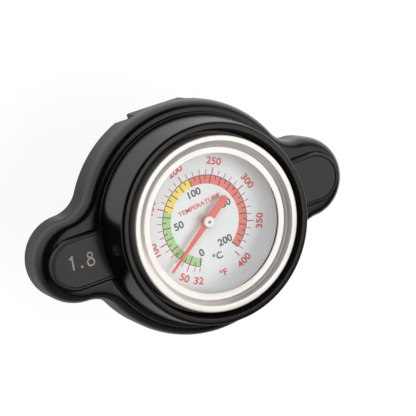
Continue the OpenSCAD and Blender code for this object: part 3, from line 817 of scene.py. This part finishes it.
    def build(self) -> None:
        """Builds the shell with its pads, flats and rating number."""
        pads = both_sides(self.pad)
        floor_z = self.flange_z + self.pad_h - self.pad_sink - self.number_depth
        tools = both_sides(self.flat)
        add_mesh(tools, self.number(floor_z))
        bm = cut(cut(lofted(self.levels(), True), pads, "UNION"), tools, "DIFFERENCE")
        for face in bm.faces:
            centre = face.calc_center_median()
            if abs(centre.z - floor_z) < 0.02 and centre.x < -self.pad_start_x:
                face.material_index = 1
            if abs(centre.z - floor_z - self.number_depth) < 0.01 and abs(centre.x) > self.pad_start_x:
                face.material_index = 2
        self.piece(bm, "cap_shell_casting", (BLACK_PAINT, NUMBER_GREY, PAD_BLACK), ("cap_shell",), 30)


@dataclass
class Gauge(Assembly):
    """Bezel, glass, coved ring and dial plate."""

    bezel_r: float = 16.29
    opening_r: float = 12.9
    base_r: float = 15.15
    bore_r: float = 15.84
    base_z: float = 8.5
    glass_z: float = 9.9
    glass_top_z: float = 11.0
    crown_top_z: float = 12.45
    crown_in_r: float = 15.45
    edge: float = 0.2
    sweep_in: float = 1.15
    sweep_h: float = 0.95
    sweep_slope: float = 72.0
    hollow: float = 0.22
    flange_t: float = 0.3
    edge_gap: float = 0.12
    edge_w: float = 0.5
    hem_t: float = 0.45
    glass_gap: float = 0.1
    dial_z: float = 5.9
    dial_face_z: float = 6.4
    dial_hole_r: float = 1.55
    skin_hole_r: float = 0.75
    skin_t: float = 0.008
    dial_r: float = 14.5
    cove_foot_r: float = 12.0
    cove_top_r: float = 13.4
    cove_top_z: float = 9.4

    def bezel(self) -> None:
        """Builds the bezel: a flat crown that sweeps down to a flat flange over the glass."""
        flange_z = self.glass_top_z + self.flange_t
        slope = radians(self.sweep_slope)
        turn = atan2(self.sweep_in * tan(slope), self.sweep_h)
        end_r = self.crown_in_r - self.sweep_in * sin(turn)
        end_z = self.crown_top_z - self.sweep_h * (1 - cos(turn))
        foot_r = end_r - (end_z - flange_z) / tan(slope) - self.hollow * tan(slope / 2)
        section = (Outline().to(self.base_r, self.base_z, 0.1).to(self.bezel_r, self.base_z, 0.15)
                   .to(self.bezel_r, self.crown_top_z, self.edge)
                   .arc(self.crown_in_r, self.crown_top_z - self.sweep_h, self.sweep_in, self.sweep_h,
                        90, 90 + turn / radians(1), 14)
                   .arc(foot_r, flange_z + self.hollow, self.hollow, self.hollow,
                        self.sweep_slope - 90, -90, 10)
                   .to(self.opening_r, flange_z, 0.08)
                   .to(self.opening_r, self.glass_top_z + self.edge_gap, 0.03)
                   .to(self.opening_r + self.edge_w, self.glass_top_z + self.edge_gap)
                   .to(self.opening_r + self.edge_w, self.glass_top_z)
                   .to(self.bore_r, self.glass_top_z).to(self.bore_r, self.base_z + self.hem_t)
                   .to(self.base_r, self.base_z + self.hem_t, 0.1))
        self.piece(section.turned(steps=288), "bezel", (BEZEL_STEEL,), ("bezel_ring",))

    def glass(self) -> None:
        """Builds the flat glass with a small ground edge."""
        edge = self.bore_r - self.glass_gap
        section = (Outline().to(0, self.glass_z).to(edge, self.glass_z, 0.1)
                   .to(edge, self.glass_top_z, 0.1).to(0, self.glass_top_z))
        self.piece(section.turned(False), "lens", (Glass(),), ("lens_glass",))

    def cove(self) -> None:
        """Builds the coved ring between the dial and the glass."""
        section = (Outline().to(self.cove_foot_r, self.dial_face_z)
                   .arc(self.cove_foot_r, self.cove_top_z, self.cove_top_r - self.cove_foot_r,
                        self.cove_top_z - self.dial_face_z - 0.03, 272, 360, 24)
                   .to(self.dial_r, self.cove_top_z).to(self.dial_r, self.dial_face_z))
        self.piece(section.turned(steps=240), "cove_ring", (COVE_WHITE,), ("reflector_ring",))

    def plate(self) -> None:
        """Builds the dial plate, whose enamel runs in over the bush."""
        section = (Outline().to(self.dial_hole_r, self.dial_z).to(self.dial_r, self.dial_z)
                   .to(self.dial_r, self.dial_face_z + self.skin_t)
                   .to(self.skin_hole_r, self.dial_face_z + self.skin_t)
                   .to(self.skin_hole_r, self.dial_face_z).to(self.dial_hole_r, self.dial_face_z))
        self.piece(section.turned(), "dial", (DIAL_WHITE,), ("dial_plate",))

    def build(self) -> None:
        """Builds the gauge's own pieces."""
        self.bezel()
        self.glass()
        self.cove()
        self.plate()


@dataclass
class DialPrint(Assembly):
    """The scales printed on the dial: a coloured Celsius band and Fahrenheit marks round it."""

    z: float = 6.4
    zero_angle: float = 247.7
    degrees_per_c: float = 1.506
    tilt: float = 7.0
    band_in: float = 6.95
    band_out: float = 8.5
    line_w: float = 0.14
    edge_line_w: float = 0.22
    inner_line_w: float = 0.17
    celsius_end: int = 200
    green_end: int = 64
    yellow_end: int = 100
    major_tick: tuple = (8.65, 10.0, 0.24)
    minor_tick: tuple = (8.75, 9.65, 0.17)
    number_r: float = 11.25
    number_h: float = 1.42

    def angle(self, celsius: float) -> float:
        """Gives the direction of a temperature, in degrees from +X."""
        return self.zero_angle - self.degrees_per_c * celsius

    def sector(self, inner: float, outer: float, low_c: float, high_c: float,
               lift: float) -> BMesh:
        """Makes a thin ring sector between two temperatures.

        Args:
            inner: Inner radius.
            outer: Outer radius.
            low_c: Temperature where it starts.
            high_c: Temperature where it ends.
            lift: Height of its underside above the dial.

        Returns:
            The mesh.
        """
        start, sweep = self.angle(high_c), self.degrees_per_c * (high_c - low_c)
        section = ring_section(inner, outer, self.z + lift, self.z + lift + INK_T, 0)
        return section.turned(steps=max(4, int(sweep / 2)), start=radians(start), angle=radians(sweep))

    def mark(self, angle: float, inner: float, outer: float, width: float,
             lift: float) -> BMesh:
        """Makes a radial tick.

        Args:
            angle: Direction in degrees.
            inner: Inner end.
            outer: Outer end.
            width: Width of the tick.
            lift: Height of its underside above the dial.

        Returns:
            The mesh.
        """
        bm = block((outer - inner, width, INK_T), ((outer + inner) / 2, 0, self.z + lift + INK_T / 2), 0)
        return turned_by(bm, angle)

    def band(self) -> None:
        """Prints the coloured band with its dark edge and its lines."""
        parts = ((0, self.green_end, "band_green_zone", BAND_GREEN),
                 (self.green_end, self.yellow_end, "band_yellow_zone", BAND_YELLOW),
                 (self.yellow_end, self.celsius_end, "band_red_zone", BAND_RED))
        for low, high, name, finish in parts:
            self.piece(self.sector(self.band_in, self.band_out, low, high, 0), name, (finish,))
        lines = self.sector(self.band_out, self.band_out + self.line_w, 0, self.celsius_end, 0)
        for c in range(0, self.celsius_end + 1, 5):
            inner = self.band_in if c % 10 == 0 else (self.band_in + self.band_out) / 2 + 0.1
            width = self.edge_line_w if c in (0, self.celsius_end) else self.inner_line_w
            add_mesh(lines, self.mark(self.angle(c), inner, self.band_out, width, INK_T))
        self.piece(lines, "band_lines", (INK_DARK,))

    def fahrenheit(self) -> None:
        """Prints the Fahrenheit ticks and numbers."""
        def angle(f: float) -> float:
            """Gives the direction of a temperature in Fahrenheit."""
            return self.angle((f - 32) / 1.8)

        ink = bmesh.new()
        for f in [32, *range(40, 401, 10)]:
            add_mesh(ink, self.mark(angle(f), *(self.minor_tick if f % 50 else self.major_tick), 0))
        for f in (32, 50, 100, 150, 200, 250, 300, 350, 400):
            turn = angle(f)
            upright = f in (32, 50, 350, 400)
            place = (self.number_r * cos(radians(turn)), self.number_r * sin(radians(turn)))
            add_mesh(ink, lettering(str(f), self.number_h, place, turn + (90 if upright else -90),
                                    self.z, 1.08, 0.026))
        add_mesh(ink, lettering("°F", 1.36, (1.0, -10.6), self.tilt, self.z, 1.1, 0.03))
        add_mesh(ink, lettering("TEMPERATURE", 0.87, (-0.4, 3.24), self.tilt, self.z, 1.16, 0.022))
        self.piece(ink, "fahrenheit_print", (INK_RED,))

    def celsius(self) -> None:
        """Prints the Celsius numbers."""
        ink = bmesh.new()
        places = {"0": (-2.3, -5.5), "50": (-5.3, 0.8), "100": (-0.7, 5.7), "150": (4.6, 1.9),
                  "200": (2.9, -4.8), "°C": (0.66, -7.2)}
        for text, place in places.items():
            add_mesh(ink, lettering(text, self.number_h, place, self.tilt, self.z, 1.06, 0.024))
        self.piece(ink, "celsius_print", (INK_DARK,))

    def build(self) -> None:
        """Prints everything on the dial."""
        self.band()
        self.fahrenheit()
        self.celsius()


@dataclass
class Pointer(Assembly):
    """The red pointer with its hub and the cap on it."""

    body: str = "pointer"
    z: float = 7.55
    blade_t: float = 0.3
    hub_z: float = 6.7
    hub_top_z: float = 7.95
    hub_r: float = 1.22
    boss_r: float = 0.8
    hub_under: float = 0.07
    bore_r: float = 0.5
    reach: float = 11.6
    tail: float = 5.9
    root_w: float = 1.0
    tip_w: float = 0.4
    tail_w: float = 1.35
    cap_r: float = 1.04
    cap_h: float = 0.5
    mark_r: float = 0.32
    mark_sink: float = 0.1

    def blade(self) -> BMesh:
        """Draws the blade: a tapered arm and a tail with a round end."""
        bm = bmesh.new()
        half = self.tail_w / 2
        end = [Vector((-self.tail + half - half * sin(pi * i / 12), half * cos(pi * i / 12), self.z))
               for i in range(13)]
        arm = [Vector((x, y, self.z)) for x, y in (
            (0.1, -half), (0.1, -self.root_w / 2), (self.reach, -self.tip_w / 2),
            (self.reach, self.tip_w / 2), (0.1, self.root_w / 2), (0.1, half))]
        bm.faces.new([bm.verts.new(p) for p in end + arm])
        raised(bm, self.blade_t)
        flat = [e for e in bm.edges if abs(e.verts[0].co.z - e.verts[1].co.z) < 1e-6]
        bmesh.ops.bevel(bm, geom=flat, offset=0.05, segments=2, profile=0.5, affect="EDGES", material=-1)
        return turned_by(bm, POINTER_ANGLE)

    def build(self) -> None:
        """Builds the pointer and the cap on its hub."""
        hub = (Outline().to(0, self.hub_z).to(self.boss_r, self.hub_z, 0.08)
               .to(self.boss_r, self.z - self.hub_under, 0.05)
               .to(self.hub_r, self.z - self.hub_under, 0.06)
               .to(self.hub_r, self.hub_top_z, 0.08).to(0, self.hub_top_z)).turned(False, steps=96)
        needle = cut(hub, self.blade(), "UNION")
        bore = pin_section(self.bore_r, self.hub_z - 1, self.hub_top_z + 1)
        needle = cut(needle, bore.turned(False, steps=48), "DIFFERENCE")
        self.piece(needle, "needle", (POINTER_RED,), ("pointer_needle",))
        top = self.hub_top_z + self.cap_h
        cap = (Outline().to(0, self.hub_top_z).to(self.cap_r, self.hub_top_z)
               .to(self.cap_r, top, 0.15).to(self.mark_r, top).to(self.mark_r, top - self.mark_sink)
               .to(0, top - self.mark_sink)).turned(False, steps=96)
        for face in cap.faces:
            centre = face.calc_center_median()
            if centre.z > self.hub_top_z + 0.1 and centre.xy.length <= self.mark_r:
                face.material_index = 1
        self.piece(cap, "hub_cap", (HUB_SILVER, HUB_MARK), ("pointer_cap",))


@dataclass
class Bayonet(Assembly):
    """The steel cup under the shell, with two locking lugs, and the hollow rivet."""

    hole_r: float = 4.25
    inner_r: float = 19.0
    outer_r: float = 20.0
    top_z: float = 2.6
    sheet: float = 1.0
    lug_z: float = -3.8
    lug_r: float = 17.1
    lug_half: float = 25.0
    lug_root: float = 0.4
    rivet_bore: float = 3.1
    rivet_r: float = 4.2
    rivet_head_r: float = 5.6
    rivet_foot_z: float = -8.3
    rivet_foot_t: float = 0.75
    rivet_top_z: float = 4.2
    rivet_top_t: float = 0.6

    def build(self) -> None:
        """Builds the cup with its lugs, and the rivet."""
        plate_z = self.top_z - self.sheet
        section = (Outline().to(self.hole_r, plate_z).to(self.inner_r, plate_z, 0.3)
                   .to(self.inner_r, self.lug_z, 0.15).to(self.outer_r, self.lug_z, 0.15)
                   .to(self.outer_r, self.top_z, self.sheet).to(self.hole_r, self.top_z))
        cup = section.turned(steps=192)
        for side in (90, 270):
            lug = ring_section(self.lug_r, self.outer_r - self.lug_root, self.lug_z,
                               self.lug_z + self.sheet, 0.2)
            cup = cut(cup, lug.turned(steps=24, start=radians(side - self.lug_half),
                                      angle=radians(2 * self.lug_half)), "UNION")
        self.piece(cup, "bayonet_plate", (SHEET_STEEL,), ("bayonet_cup",), 35)
        foot_z = self.rivet_foot_z + self.rivet_foot_t
        head_z = self.rivet_top_z - self.rivet_top_t
        rivet = (Outline().to(self.rivet_bore, self.rivet_foot_z, 0.25)
                 .to(self.rivet_head_r, self.rivet_foot_z, 0.3)
                 .to(self.rivet_head_r, foot_z, 0.15)
                 .to(self.rivet_r, foot_z).to(self.rivet_r, head_z).to(self.rivet_head_r, head_z)
                 .to(self.rivet_head_r, self.rivet_top_z, 0.2).to(self.rivet_bore, self.rivet_top_z, 0.1))
        self.piece(rivet.turned(), "hollow_rivet", (BRASS,), ("centre_sleeve",))


@dataclass
class Probe(Assembly):
    """The stainless probe."""

    r: float = 3.0
    wall: float = 0.4
    shoulder_z: float = -24.7
    tip_z: float = -26.3
    top_z: float = 4.7
    plug_gap: float = 0.05
    plug_h: float = 2.0
    socket_r: float = 0.55
    socket_h: float = 0.8

    def build(self) -> None:
        """Builds the tube and its rounded end."""
        tube = ring_section(self.r - self.wall, self.r, self.shoulder_z, self.top_z, 0.06)
        self.piece(tube.turned(steps=96), "probe_sleeve", (CASE_STEEL,), ("probe_tube",))
        plug_r = self.r - self.wall - self.plug_gap
        plug_z, socket_z = self.shoulder_z + self.plug_h, self.shoulder_z + self.socket_h
        tip = (Outline().arc(0, self.shoulder_z, self.r, self.shoulder_z - self.tip_z, 270, 360)
               .to(plug_r, self.shoulder_z).to(plug_r, plug_z).to(self.socket_r, plug_z)
               .to(self.socket_r, socket_z).to(0, socket_z))
        self.piece(tip.turned(False, steps=96), "probe_end", (CASE_STEEL,), ("probe_tip",))


@dataclass(frozen=True)
class Spring:
    """A coil spring of round wire whose end turns lie close.

    Attributes:
        radius: Mean radius.
        wire: Wire diameter.
        turns: Number of turns.
        low: Lowest point of the wire.
        high: Highest point of the wire.
        close: Rise of each end turn.
    """

    radius: float
    wire: float
    turns: float
    low: float
    high: float
    close: float

    def mesh(self, sides: int = 16, steps: int = 48) -> BMesh:
        """Sweeps the wire round, one stretch for each pitch.

        Args:
            sides: Sides of the wire.
            steps: Steps in a full turn.

        Returns:
            The mesh.
        """
        bm = bmesh.new()
        place = Matrix.Translation((self.radius, 0, self.low + self.wire / 2)) @ Matrix.Rotation(
            pi / 2, 4, "X")
        bmesh.ops.create_circle(bm, segments=sides, radius=self.wire / 2, matrix=place)
        geom = list(bm.verts) + list(bm.edges)
        middle = self.turns - 2
        rise = self.high - self.low - self.wire - 2 * self.close
        for turns, climb in ((1, self.close), (middle, rise), (1, self.close)):
            count = int(steps * turns)
            geom = bmesh.ops.spin(bm, geom=geom, axis=(0, 0, 1), angle=FULL_TURN * turns, steps=count,
                                  dvec=(0, 0, climb / count), use_merge=False,
                                  use_duplicate=False)["geom_last"]
        bmesh.ops.remove_doubles(bm, verts=bm.verts, dist=MERGE)
        bmesh.ops.holes_fill(bm, edges=bm.edges)
        bmesh.ops.recalc_face_normals(bm, faces=bm.faces)
        return bm


@dataclass
class SeatStack(Assembly):
    """What swivels under the shell: spring disc, upper gasket, spring seat and main spring."""

    body: str = "valve_carrier"
    rivet_r: float = 4.25
    disc_r: float = 17.6
    disc_z: float = 1.15
    disc_t: float = 0.4
    gasket_in: float = 10.8
    gasket_out: float = 16.9
    seat_r: float = 10.7
    seat_z: float = 0.65
    seat_rim_z: float = -0.25
    seat_gap: float = 0.05
    seat_wall: float = 0.4
    main_spring: Spring = Spring(9.2, 1.6, 4.5, -14.88, 0.63, 2.1)
    lift: float = 2.5

    def build(self) -> None:
        """Builds the stack and the main spring."""
        disc = ring_section(self.rivet_r, self.disc_r, self.disc_z, self.disc_z + self.disc_t, 0.12)
        self.piece(disc.turned(steps=192), "spring_plate", (SHEET_STEEL,), ("spring_disc",))
        gasket = ring_section(self.gasket_in, self.gasket_out, 0, self.disc_z, 0.2)
        self.piece(gasket.turned(steps=192), "neck_gasket", (RUBBER,), ("upper_gasket",))
        hole, inner = self.rivet_r + self.seat_gap, self.seat_r - self.seat_wall
        seat = (Outline().to(hole, self.seat_z).to(inner, self.seat_z, 0.15)
                .to(inner, self.seat_rim_z, 0.1).to(self.seat_r, self.seat_rim_z, 0.1)
                .to(self.seat_r, self.disc_z, 0.3).to(hole, self.disc_z))
        self.piece(seat.turned(), "spring_cup", (SHEET_STEEL,), ("spring_seat",))
        spring = self.piece(self.main_spring.mesh(), "main_spring", (SPRING_STEEL,),
                            ("pressure_spring",))
        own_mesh(spring)


@dataclass
class PressureValve(Assembly):
    """The lifting valve: bell, plate, seal, eyelet and the vacuum spring that stands on it."""

    body: str = "pressure_valve"
    bell_z: float = -15.5
    bell_top_z: float = -6.9
    bell_r: float = 7.2
    bell_t: float = 0.6
    bell_hole_r: float = 4.3
    bell_flange_r: float = 11.2
    window_r: float = 1.2
    window_z: float = -11.6
    plate_r: float = 12.2
    plate_z: float = -16.5
    seal_r: float = 13.0
    seal_z: float = -18.1
    seal_face_r: float = 9.2
    seal_recess: float = 0.4
    eyelet_bore: float = 5.5
    eyelet_r: float = 5.9
    eyelet_flange_r: float = 7.2
    eyelet_roll_r: float = 6.5
    eyelet_roll_t: float = 0.4
    eyelet_gap: float = 0.05
    vacuum_spring: Spring = Spring(6.2, 0.4, 3, -15.08, -11.92, 0.9)
    drop: float = 1.5

    def bell(self) -> None:
        """Builds the bell with its four windows."""
        inner, top, t = self.bell_r - self.bell_t, self.bell_top_z, self.bell_t
        section = (Outline().to(inner, self.bell_z, 0.25).to(self.bell_flange_r, self.bell_z, 0.15)
                   .to(self.bell_flange_r, self.bell_z + t, 0.15).to(self.bell_r, self.bell_z + t, 0.3)
                   .to(self.bell_r, top, 0.7).to(self.bell_hole_r, top, 0.1)
                   .to(self.bell_hole_r, top - t, 0.1).to(inner, top - t, 0.25))
        bell = section.turned()
        for i in range(4):
            tool = bmesh.new()
            turn = Matrix.Rotation(radians(45 + 90 * i), 4, "Z") @ Matrix.Translation(
                (inner + t / 2, 0, self.window_z)) @ Matrix.Rotation(pi / 2, 4, "Y")
            bmesh.ops.create_cone(tool, cap_ends=True, segments=40, radius1=self.window_r,
                                  radius2=self.window_r, depth=2, matrix=turn)
            bell = cut(bell, tool, "DIFFERENCE")
        self.piece(bell, "sliding_bell", (SHEET_STEEL,), ("valve_bell",), 35)

    def build(self) -> None:
        """Builds the valve from its bell down."""
        self.bell()
        hole = self.eyelet_r + self.eyelet_gap
        plate = ring_section(hole, self.plate_r, self.plate_z, self.bell_z, 0.18)
        self.piece(plate.turned(), "valve_plate", (SHEET_STEEL,), ("pressure_plate",))
        recess_z = self.seal_z + self.seal_recess
        seal = (Outline().to(hole, recess_z).to(self.seal_face_r, recess_z, 0.1)
                .to(self.seal_face_r, self.seal_z, 0.12).to(self.seal_r, self.seal_z, 0.3)
                .to(self.seal_r, self.plate_z, 0.25).to(hole, self.plate_z))
        self.piece(seal.turned(steps=192), "rubber_seal", (RUBBER,), ("pressure_seal",))
        roll_z = self.bell_z + self.eyelet_roll_t
        eyelet = (Outline().to(self.eyelet_bore, self.seal_z, 0.2)
                  .to(self.eyelet_flange_r, self.seal_z, 0.15)
                  .to(self.eyelet_flange_r, recess_z, 0.1).to(self.eyelet_r, recess_z)
                  .to(self.eyelet_r, self.bell_z).to(self.eyelet_roll_r, self.bell_z, 0.1)
                  .to(self.eyelet_roll_r, roll_z, 0.15).to(self.eyelet_bore, roll_z, 0.15))
        self.piece(eyelet.turned(), "brass_eyelet", (BRASS,), ("seal_eyelet",))
        spring = self.piece(self.vacuum_spring.mesh(10, 36), "light_spring", (SPRING_STEEL,),
                            ("vacuum_spring",))
        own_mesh(spring)


@dataclass
class VacuumValve(Assembly):
    """The light valve that drops: disc with a tubular stem, and the clip on the stem."""

    body: str = "vacuum_valve"
    disc_r: float = 8.6
    disc_z: float = -19.1
    disc_t: float = 0.6
    rim_z: float = -17.75
    rim_w: float = 0.8
    stem_r: float = 4.0
    stem_bore: float = 3.4
    stem_top_z: float = -11.5
    clip_r: float = 6.2
    clip_t: float = 0.4
    clip_gap: float = 0.025

    def build(self) -> None:
        """Builds the valve disc and its clip."""
        top = self.disc_z + self.disc_t
        section = (Outline().to(self.stem_bore, self.disc_z, 0.25).to(self.disc_r, self.disc_z, 0.25)
                   .to(self.disc_r, self.rim_z, 0.15).to(self.disc_r - self.rim_w, self.rim_z, 0.1)
                   .to(self.disc_r - self.rim_w, top, 0.15).to(self.stem_r, top, 0.3)
                   .to(self.stem_r, self.stem_top_z, 0.1).to(self.stem_bore, self.stem_top_z, 0.1))
        self.piece(section.turned(), "vacuum_cup", (BRASS,), ("vacuum_disc",))
        clip = ring_section(self.stem_r + self.clip_gap, self.clip_r,
                            self.stem_top_z - self.clip_t, self.stem_top_z, 0.1)
        self.piece(clip.turned(), "stem_clip", (SPRING_STEEL,), ("vacuum_clip",))


CARRIED_NODES = {
    "gauge_case": CASE_STEEL, "lens_gasket": RUBBER, "gauge_o_ring": RUBBER, "arbor_bush": BRASS,
    "bimetal_coil": BIMETAL, "pointer_arbor": CASE_STEEL,
}


def dress_carried_nodes() -> None:
    """Gives the frame's own nodes that stay their finishes."""
    for node, finish in CARRIED_NODES.items():
        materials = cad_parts[node].data.materials
        materials.clear()
        materials.append(finish.material())
        log.info("%s: keeps its shape, %s", node, finish.name)


@dataclass(frozen=True)
class Glow:
    """A soft bright patch of the world.

    Attributes:
        direction: Its middle.
        core: Angle from the middle, in degrees, up to which it is full.
        edge: Angle at which it has faded out.
        radiance: Its brightness, where 1 looks white.
    """

    direction: tuple
    core: float
    edge: float
    radiance: float


@dataclass
class Studio:
    """Camera, floor, lamps and world."""

    camera_mm: tuple = (-96.823, 61.721, 246.743)
    right: tuple = (0.87428, -0.24642, 0.41822)
    up: tuple = (0.31603, 0.94291, -0.10507)
    back: tuple = (-0.36845, 0.22403, 0.90225)
    lens: float = 124.1
    floor_z: float = -26.35
    floor_size: float = 6.0
    warm: tuple = (1.0, 0.975, 0.945, 1.0)
    bright_side: float = 70.0
    horizon: float = 0.6
    softbox: float = 1.65
    table_white: float = 0.89
    # Painted light of the table glow that paint and metal mirror, near the cap and far off: gain on the
    # bright side, then base
    painted_light_near: tuple = (0.58, 0.4)
    painted_light_far: tuple = (0.85, 0.1)
    lamp_distance: float = 0.7
    lamp_size: float = 0.6
    glows: tuple = (Glow((0.90, 0.33, 0.28), 15, 48, 0.45), Glow((-0.26, -0.90, 0.34), 15, 50, 0.22))

    def camera(self) -> None:
        """Places the camera where the photograph was taken."""
        data = bpy.data.cameras.new("camera")
        data.lens = self.lens
        data.sensor_width = 36
        data.clip_start = 0.01
        camera = placed("camera", data)
        turn = Matrix((self.right, self.up, self.back)).transposed().to_4x4()
        camera.matrix_world = Matrix.Translation(Vector(self.camera_mm) * MM) @ turn
        bpy.context.scene.camera = camera

    def side(self, tree: Tree, place: NodeSocket) -> NodeSocket:
        """Tells the bright side of the studio from the dim one.

        Args:
            tree: The tree that gets the nodes.
            place: A place or a direction.

        Returns:
            1 on the bright side, 0 opposite.
        """
        flat = tree.vector("NORMALIZE", tree.vector("MULTIPLY", place, (1, 1, 0)))
        turn = radians(self.bright_side)
        return tree.fade(tree.vector("DOT_PRODUCT", flat, (cos(turn), sin(turn), 0)), -1.0, 0.3)

    def floor(self) -> None:
        """Lays a white table.

        The camera sees it white with a faint shadow. Paint and metal mirror a painted glow in it: painted
        light that is brighter on its bright side and right under the cap, and a painted shadow in a ring
        round the cap.
        """
        bm = bmesh.new()
        bmesh.ops.create_grid(bm, x_segments=1, y_segments=1, size=self.floor_size / 2)
        bmesh.ops.translate(bm, vec=(0, 0, self.floor_z * MM), verts=bm.verts)
        mesh = to_mesh(bm, "floor")
        material, tree = new_material("floor_white")
        place = tree.add("ShaderNodeTexCoord").outputs["Object"]
        # The glow that paint and metal mirror is painted light and painted shadow, set by place on the
        # table
        reach = tree.vector("LENGTH", tree.vector("MULTIPLY", place, (0.72, 1, 0)))
        side = self.side(tree, place)
        near = tree.math("MULTIPLY_ADD", side, *self.painted_light_near)
        far = tree.math("MULTIPLY_ADD", side, *self.painted_light_far)
        painted_table_light = tree.add("ShaderNodeMix", {"Factor": tree.fade(reach, 0.038, 0.062), "A": near, "B": far},
                        data_type="FLOAT").outputs[0]
        # Painted shadow in a ring round the cap, and painted light right under it
        painted_table_light = tree.math("MULTIPLY_ADD", painted_table_light, tree.fade(reach, 0.026, 0.038, 0.3),
                         tree.fade(reach, 0.022, 0.014, 0, 0.5))
        seen = tree.seen()
        white = tree.add("ShaderNodeEmission", {
            "Color": (1, 1, 1, 1), "Strength": tree.math("MULTIPLY", seen, self.table_white)})
        unseen = tree.math("SUBTRACT", 1.0, seen)
        # This emission is painted light: the table glows for every ray but the camera's
        painted_table_glow = tree.add("ShaderNodeEmission", {"Color": self.warm,
                                                   "Strength": tree.math("MULTIPLY", unseen, painted_table_light)})
        lit = tree.add("ShaderNodeBsdfDiffuse", {"Color": (0.14, 0.14, 0.14, 1)})
        shade = tree.add("ShaderNodeAddShader", {0: white.outputs[0], 1: painted_table_glow.outputs[0]})
        shade = tree.add("ShaderNodeAddShader", {0: shade.outputs[0], 1: lit.outputs[0]})
        clear = tree.add("ShaderNodeBsdfTransparent")
        behind = tree.add("ShaderNodeNewGeometry").outputs["Backfacing"]
        mixed = tree.add("ShaderNodeMixShader", {0: behind, 1: shade.outputs[0], 2: clear.outputs[0]})
        tree.add("ShaderNodeOutputMaterial", {"Surface": mixed.outputs[0]})
        material.cycles.emission_sampling = "NONE"
        mesh.materials.append(material)
        floor = placed("floor", mesh)

    def world(self) -> None:
        """Makes a world that is white to the camera, and whose light is a softbox and dim walls."""
        world = bpy.data.worlds.new("studio")
        world.use_nodes = True
        bpy.context.scene.world = world
        tree = Tree(world.node_tree)
        way = tree.add("ShaderNodeTexCoord").outputs["Generated"]
        height = tree.add("ShaderNodeSeparateXYZ", {0: way}).outputs["Z"]
        light = tree.math("MULTIPLY", tree.fade(height, 0.25, -0.05, 0, self.horizon),
                          self.side(tree, way))
        for glow in self.glows:
            toward = tree.vector("DOT_PRODUCT", way, Vector(glow.direction).normalized())
            light = tree.math("ADD", light, tree.fade(
                toward, cos(radians(glow.edge)), cos(radians(glow.core)), 0, glow.radiance))
        up = tree.math("MAXIMUM", height, 0.02)
        across = tree.math("DIVIDE", tree.vector("DOT_PRODUCT", way, (1, 0, 0)), up)
        along = tree.math("DIVIDE", tree.vector("DOT_PRODUCT", way, (0, 1, 0)), up)
        # The softbox is full where all its ramps are
        box = tree.fade(across, 0.17, 0.26)
        for value, *ramp in ((across, 0.7, 0.27, 0.6), (along, -0.42, -0.3), (along, 0.42, 0.0),
                             (height, 0.2, 0.5, 0, self.softbox)):
            box = tree.math("MULTIPLY", box, tree.fade(value, *ramp))
        light = tree.math("ADD", light, box)
        sky = tree.add("ShaderNodeBackground", {"Color": self.warm, "Strength": light})
        white = tree.add("ShaderNodeBackground", {"Color": (1, 1, 1, 1), "Strength": 1.0})
        mixed = tree.add("ShaderNodeMixShader",
                         {0: tree.seen(), 1: sky.outputs[0], 2: white.outputs[0]})
        tree.add("ShaderNodeOutputWorld", {"Surface": mixed.outputs[0]})

    def lamp(self, name: str, direction: tuple, radiance: float) -> None:
        """Hangs a square soft lamp that faces the cap and leaves no patch in the paint.

        Args:
            name: The lamp's name.
            direction: Where it hangs, from the cap.
            radiance: Brightness of its face, where 1 looks white.
        """
        data = bpy.data.lights.new(name, "AREA")
        data.size = self.lamp_size
        data.energy = radiance * 4 * self.lamp_size ** 2
        lamp = placed(name, data)
        lamp.location = Vector(direction).normalized() * self.lamp_distance
        lamp.rotation_mode = "QUATERNION"
        lamp.rotation_quaternion = Vector(direction).to_track_quat("Z", "Y")
        lamp.visible_glossy = False

    def build(self) -> None:
        """Sets up the camera, the floor and the light."""
        self.camera()
        self.floor()
        self.world()
        self.lamp("key", (0.34, -0.34, 0.88), 2.3)
        self.lamp("fill", (-0.35, 0.45, 0.82), 1.8)
        bpy.context.scene.view_settings.view_transform = "Standard"


def main() -> None:
    """Builds the studio and the cap's sub-assemblies in order."""
    Studio().build()
    for assembly in (CapShell(), Gauge(), DialPrint(), Pointer(), Bayonet(), Probe(), SeatStack(),
                     PressureValve(), VacuumValve()):
        assembly.build()
    dress_carried_nodes()


if __name__ == "__main__":
    main()
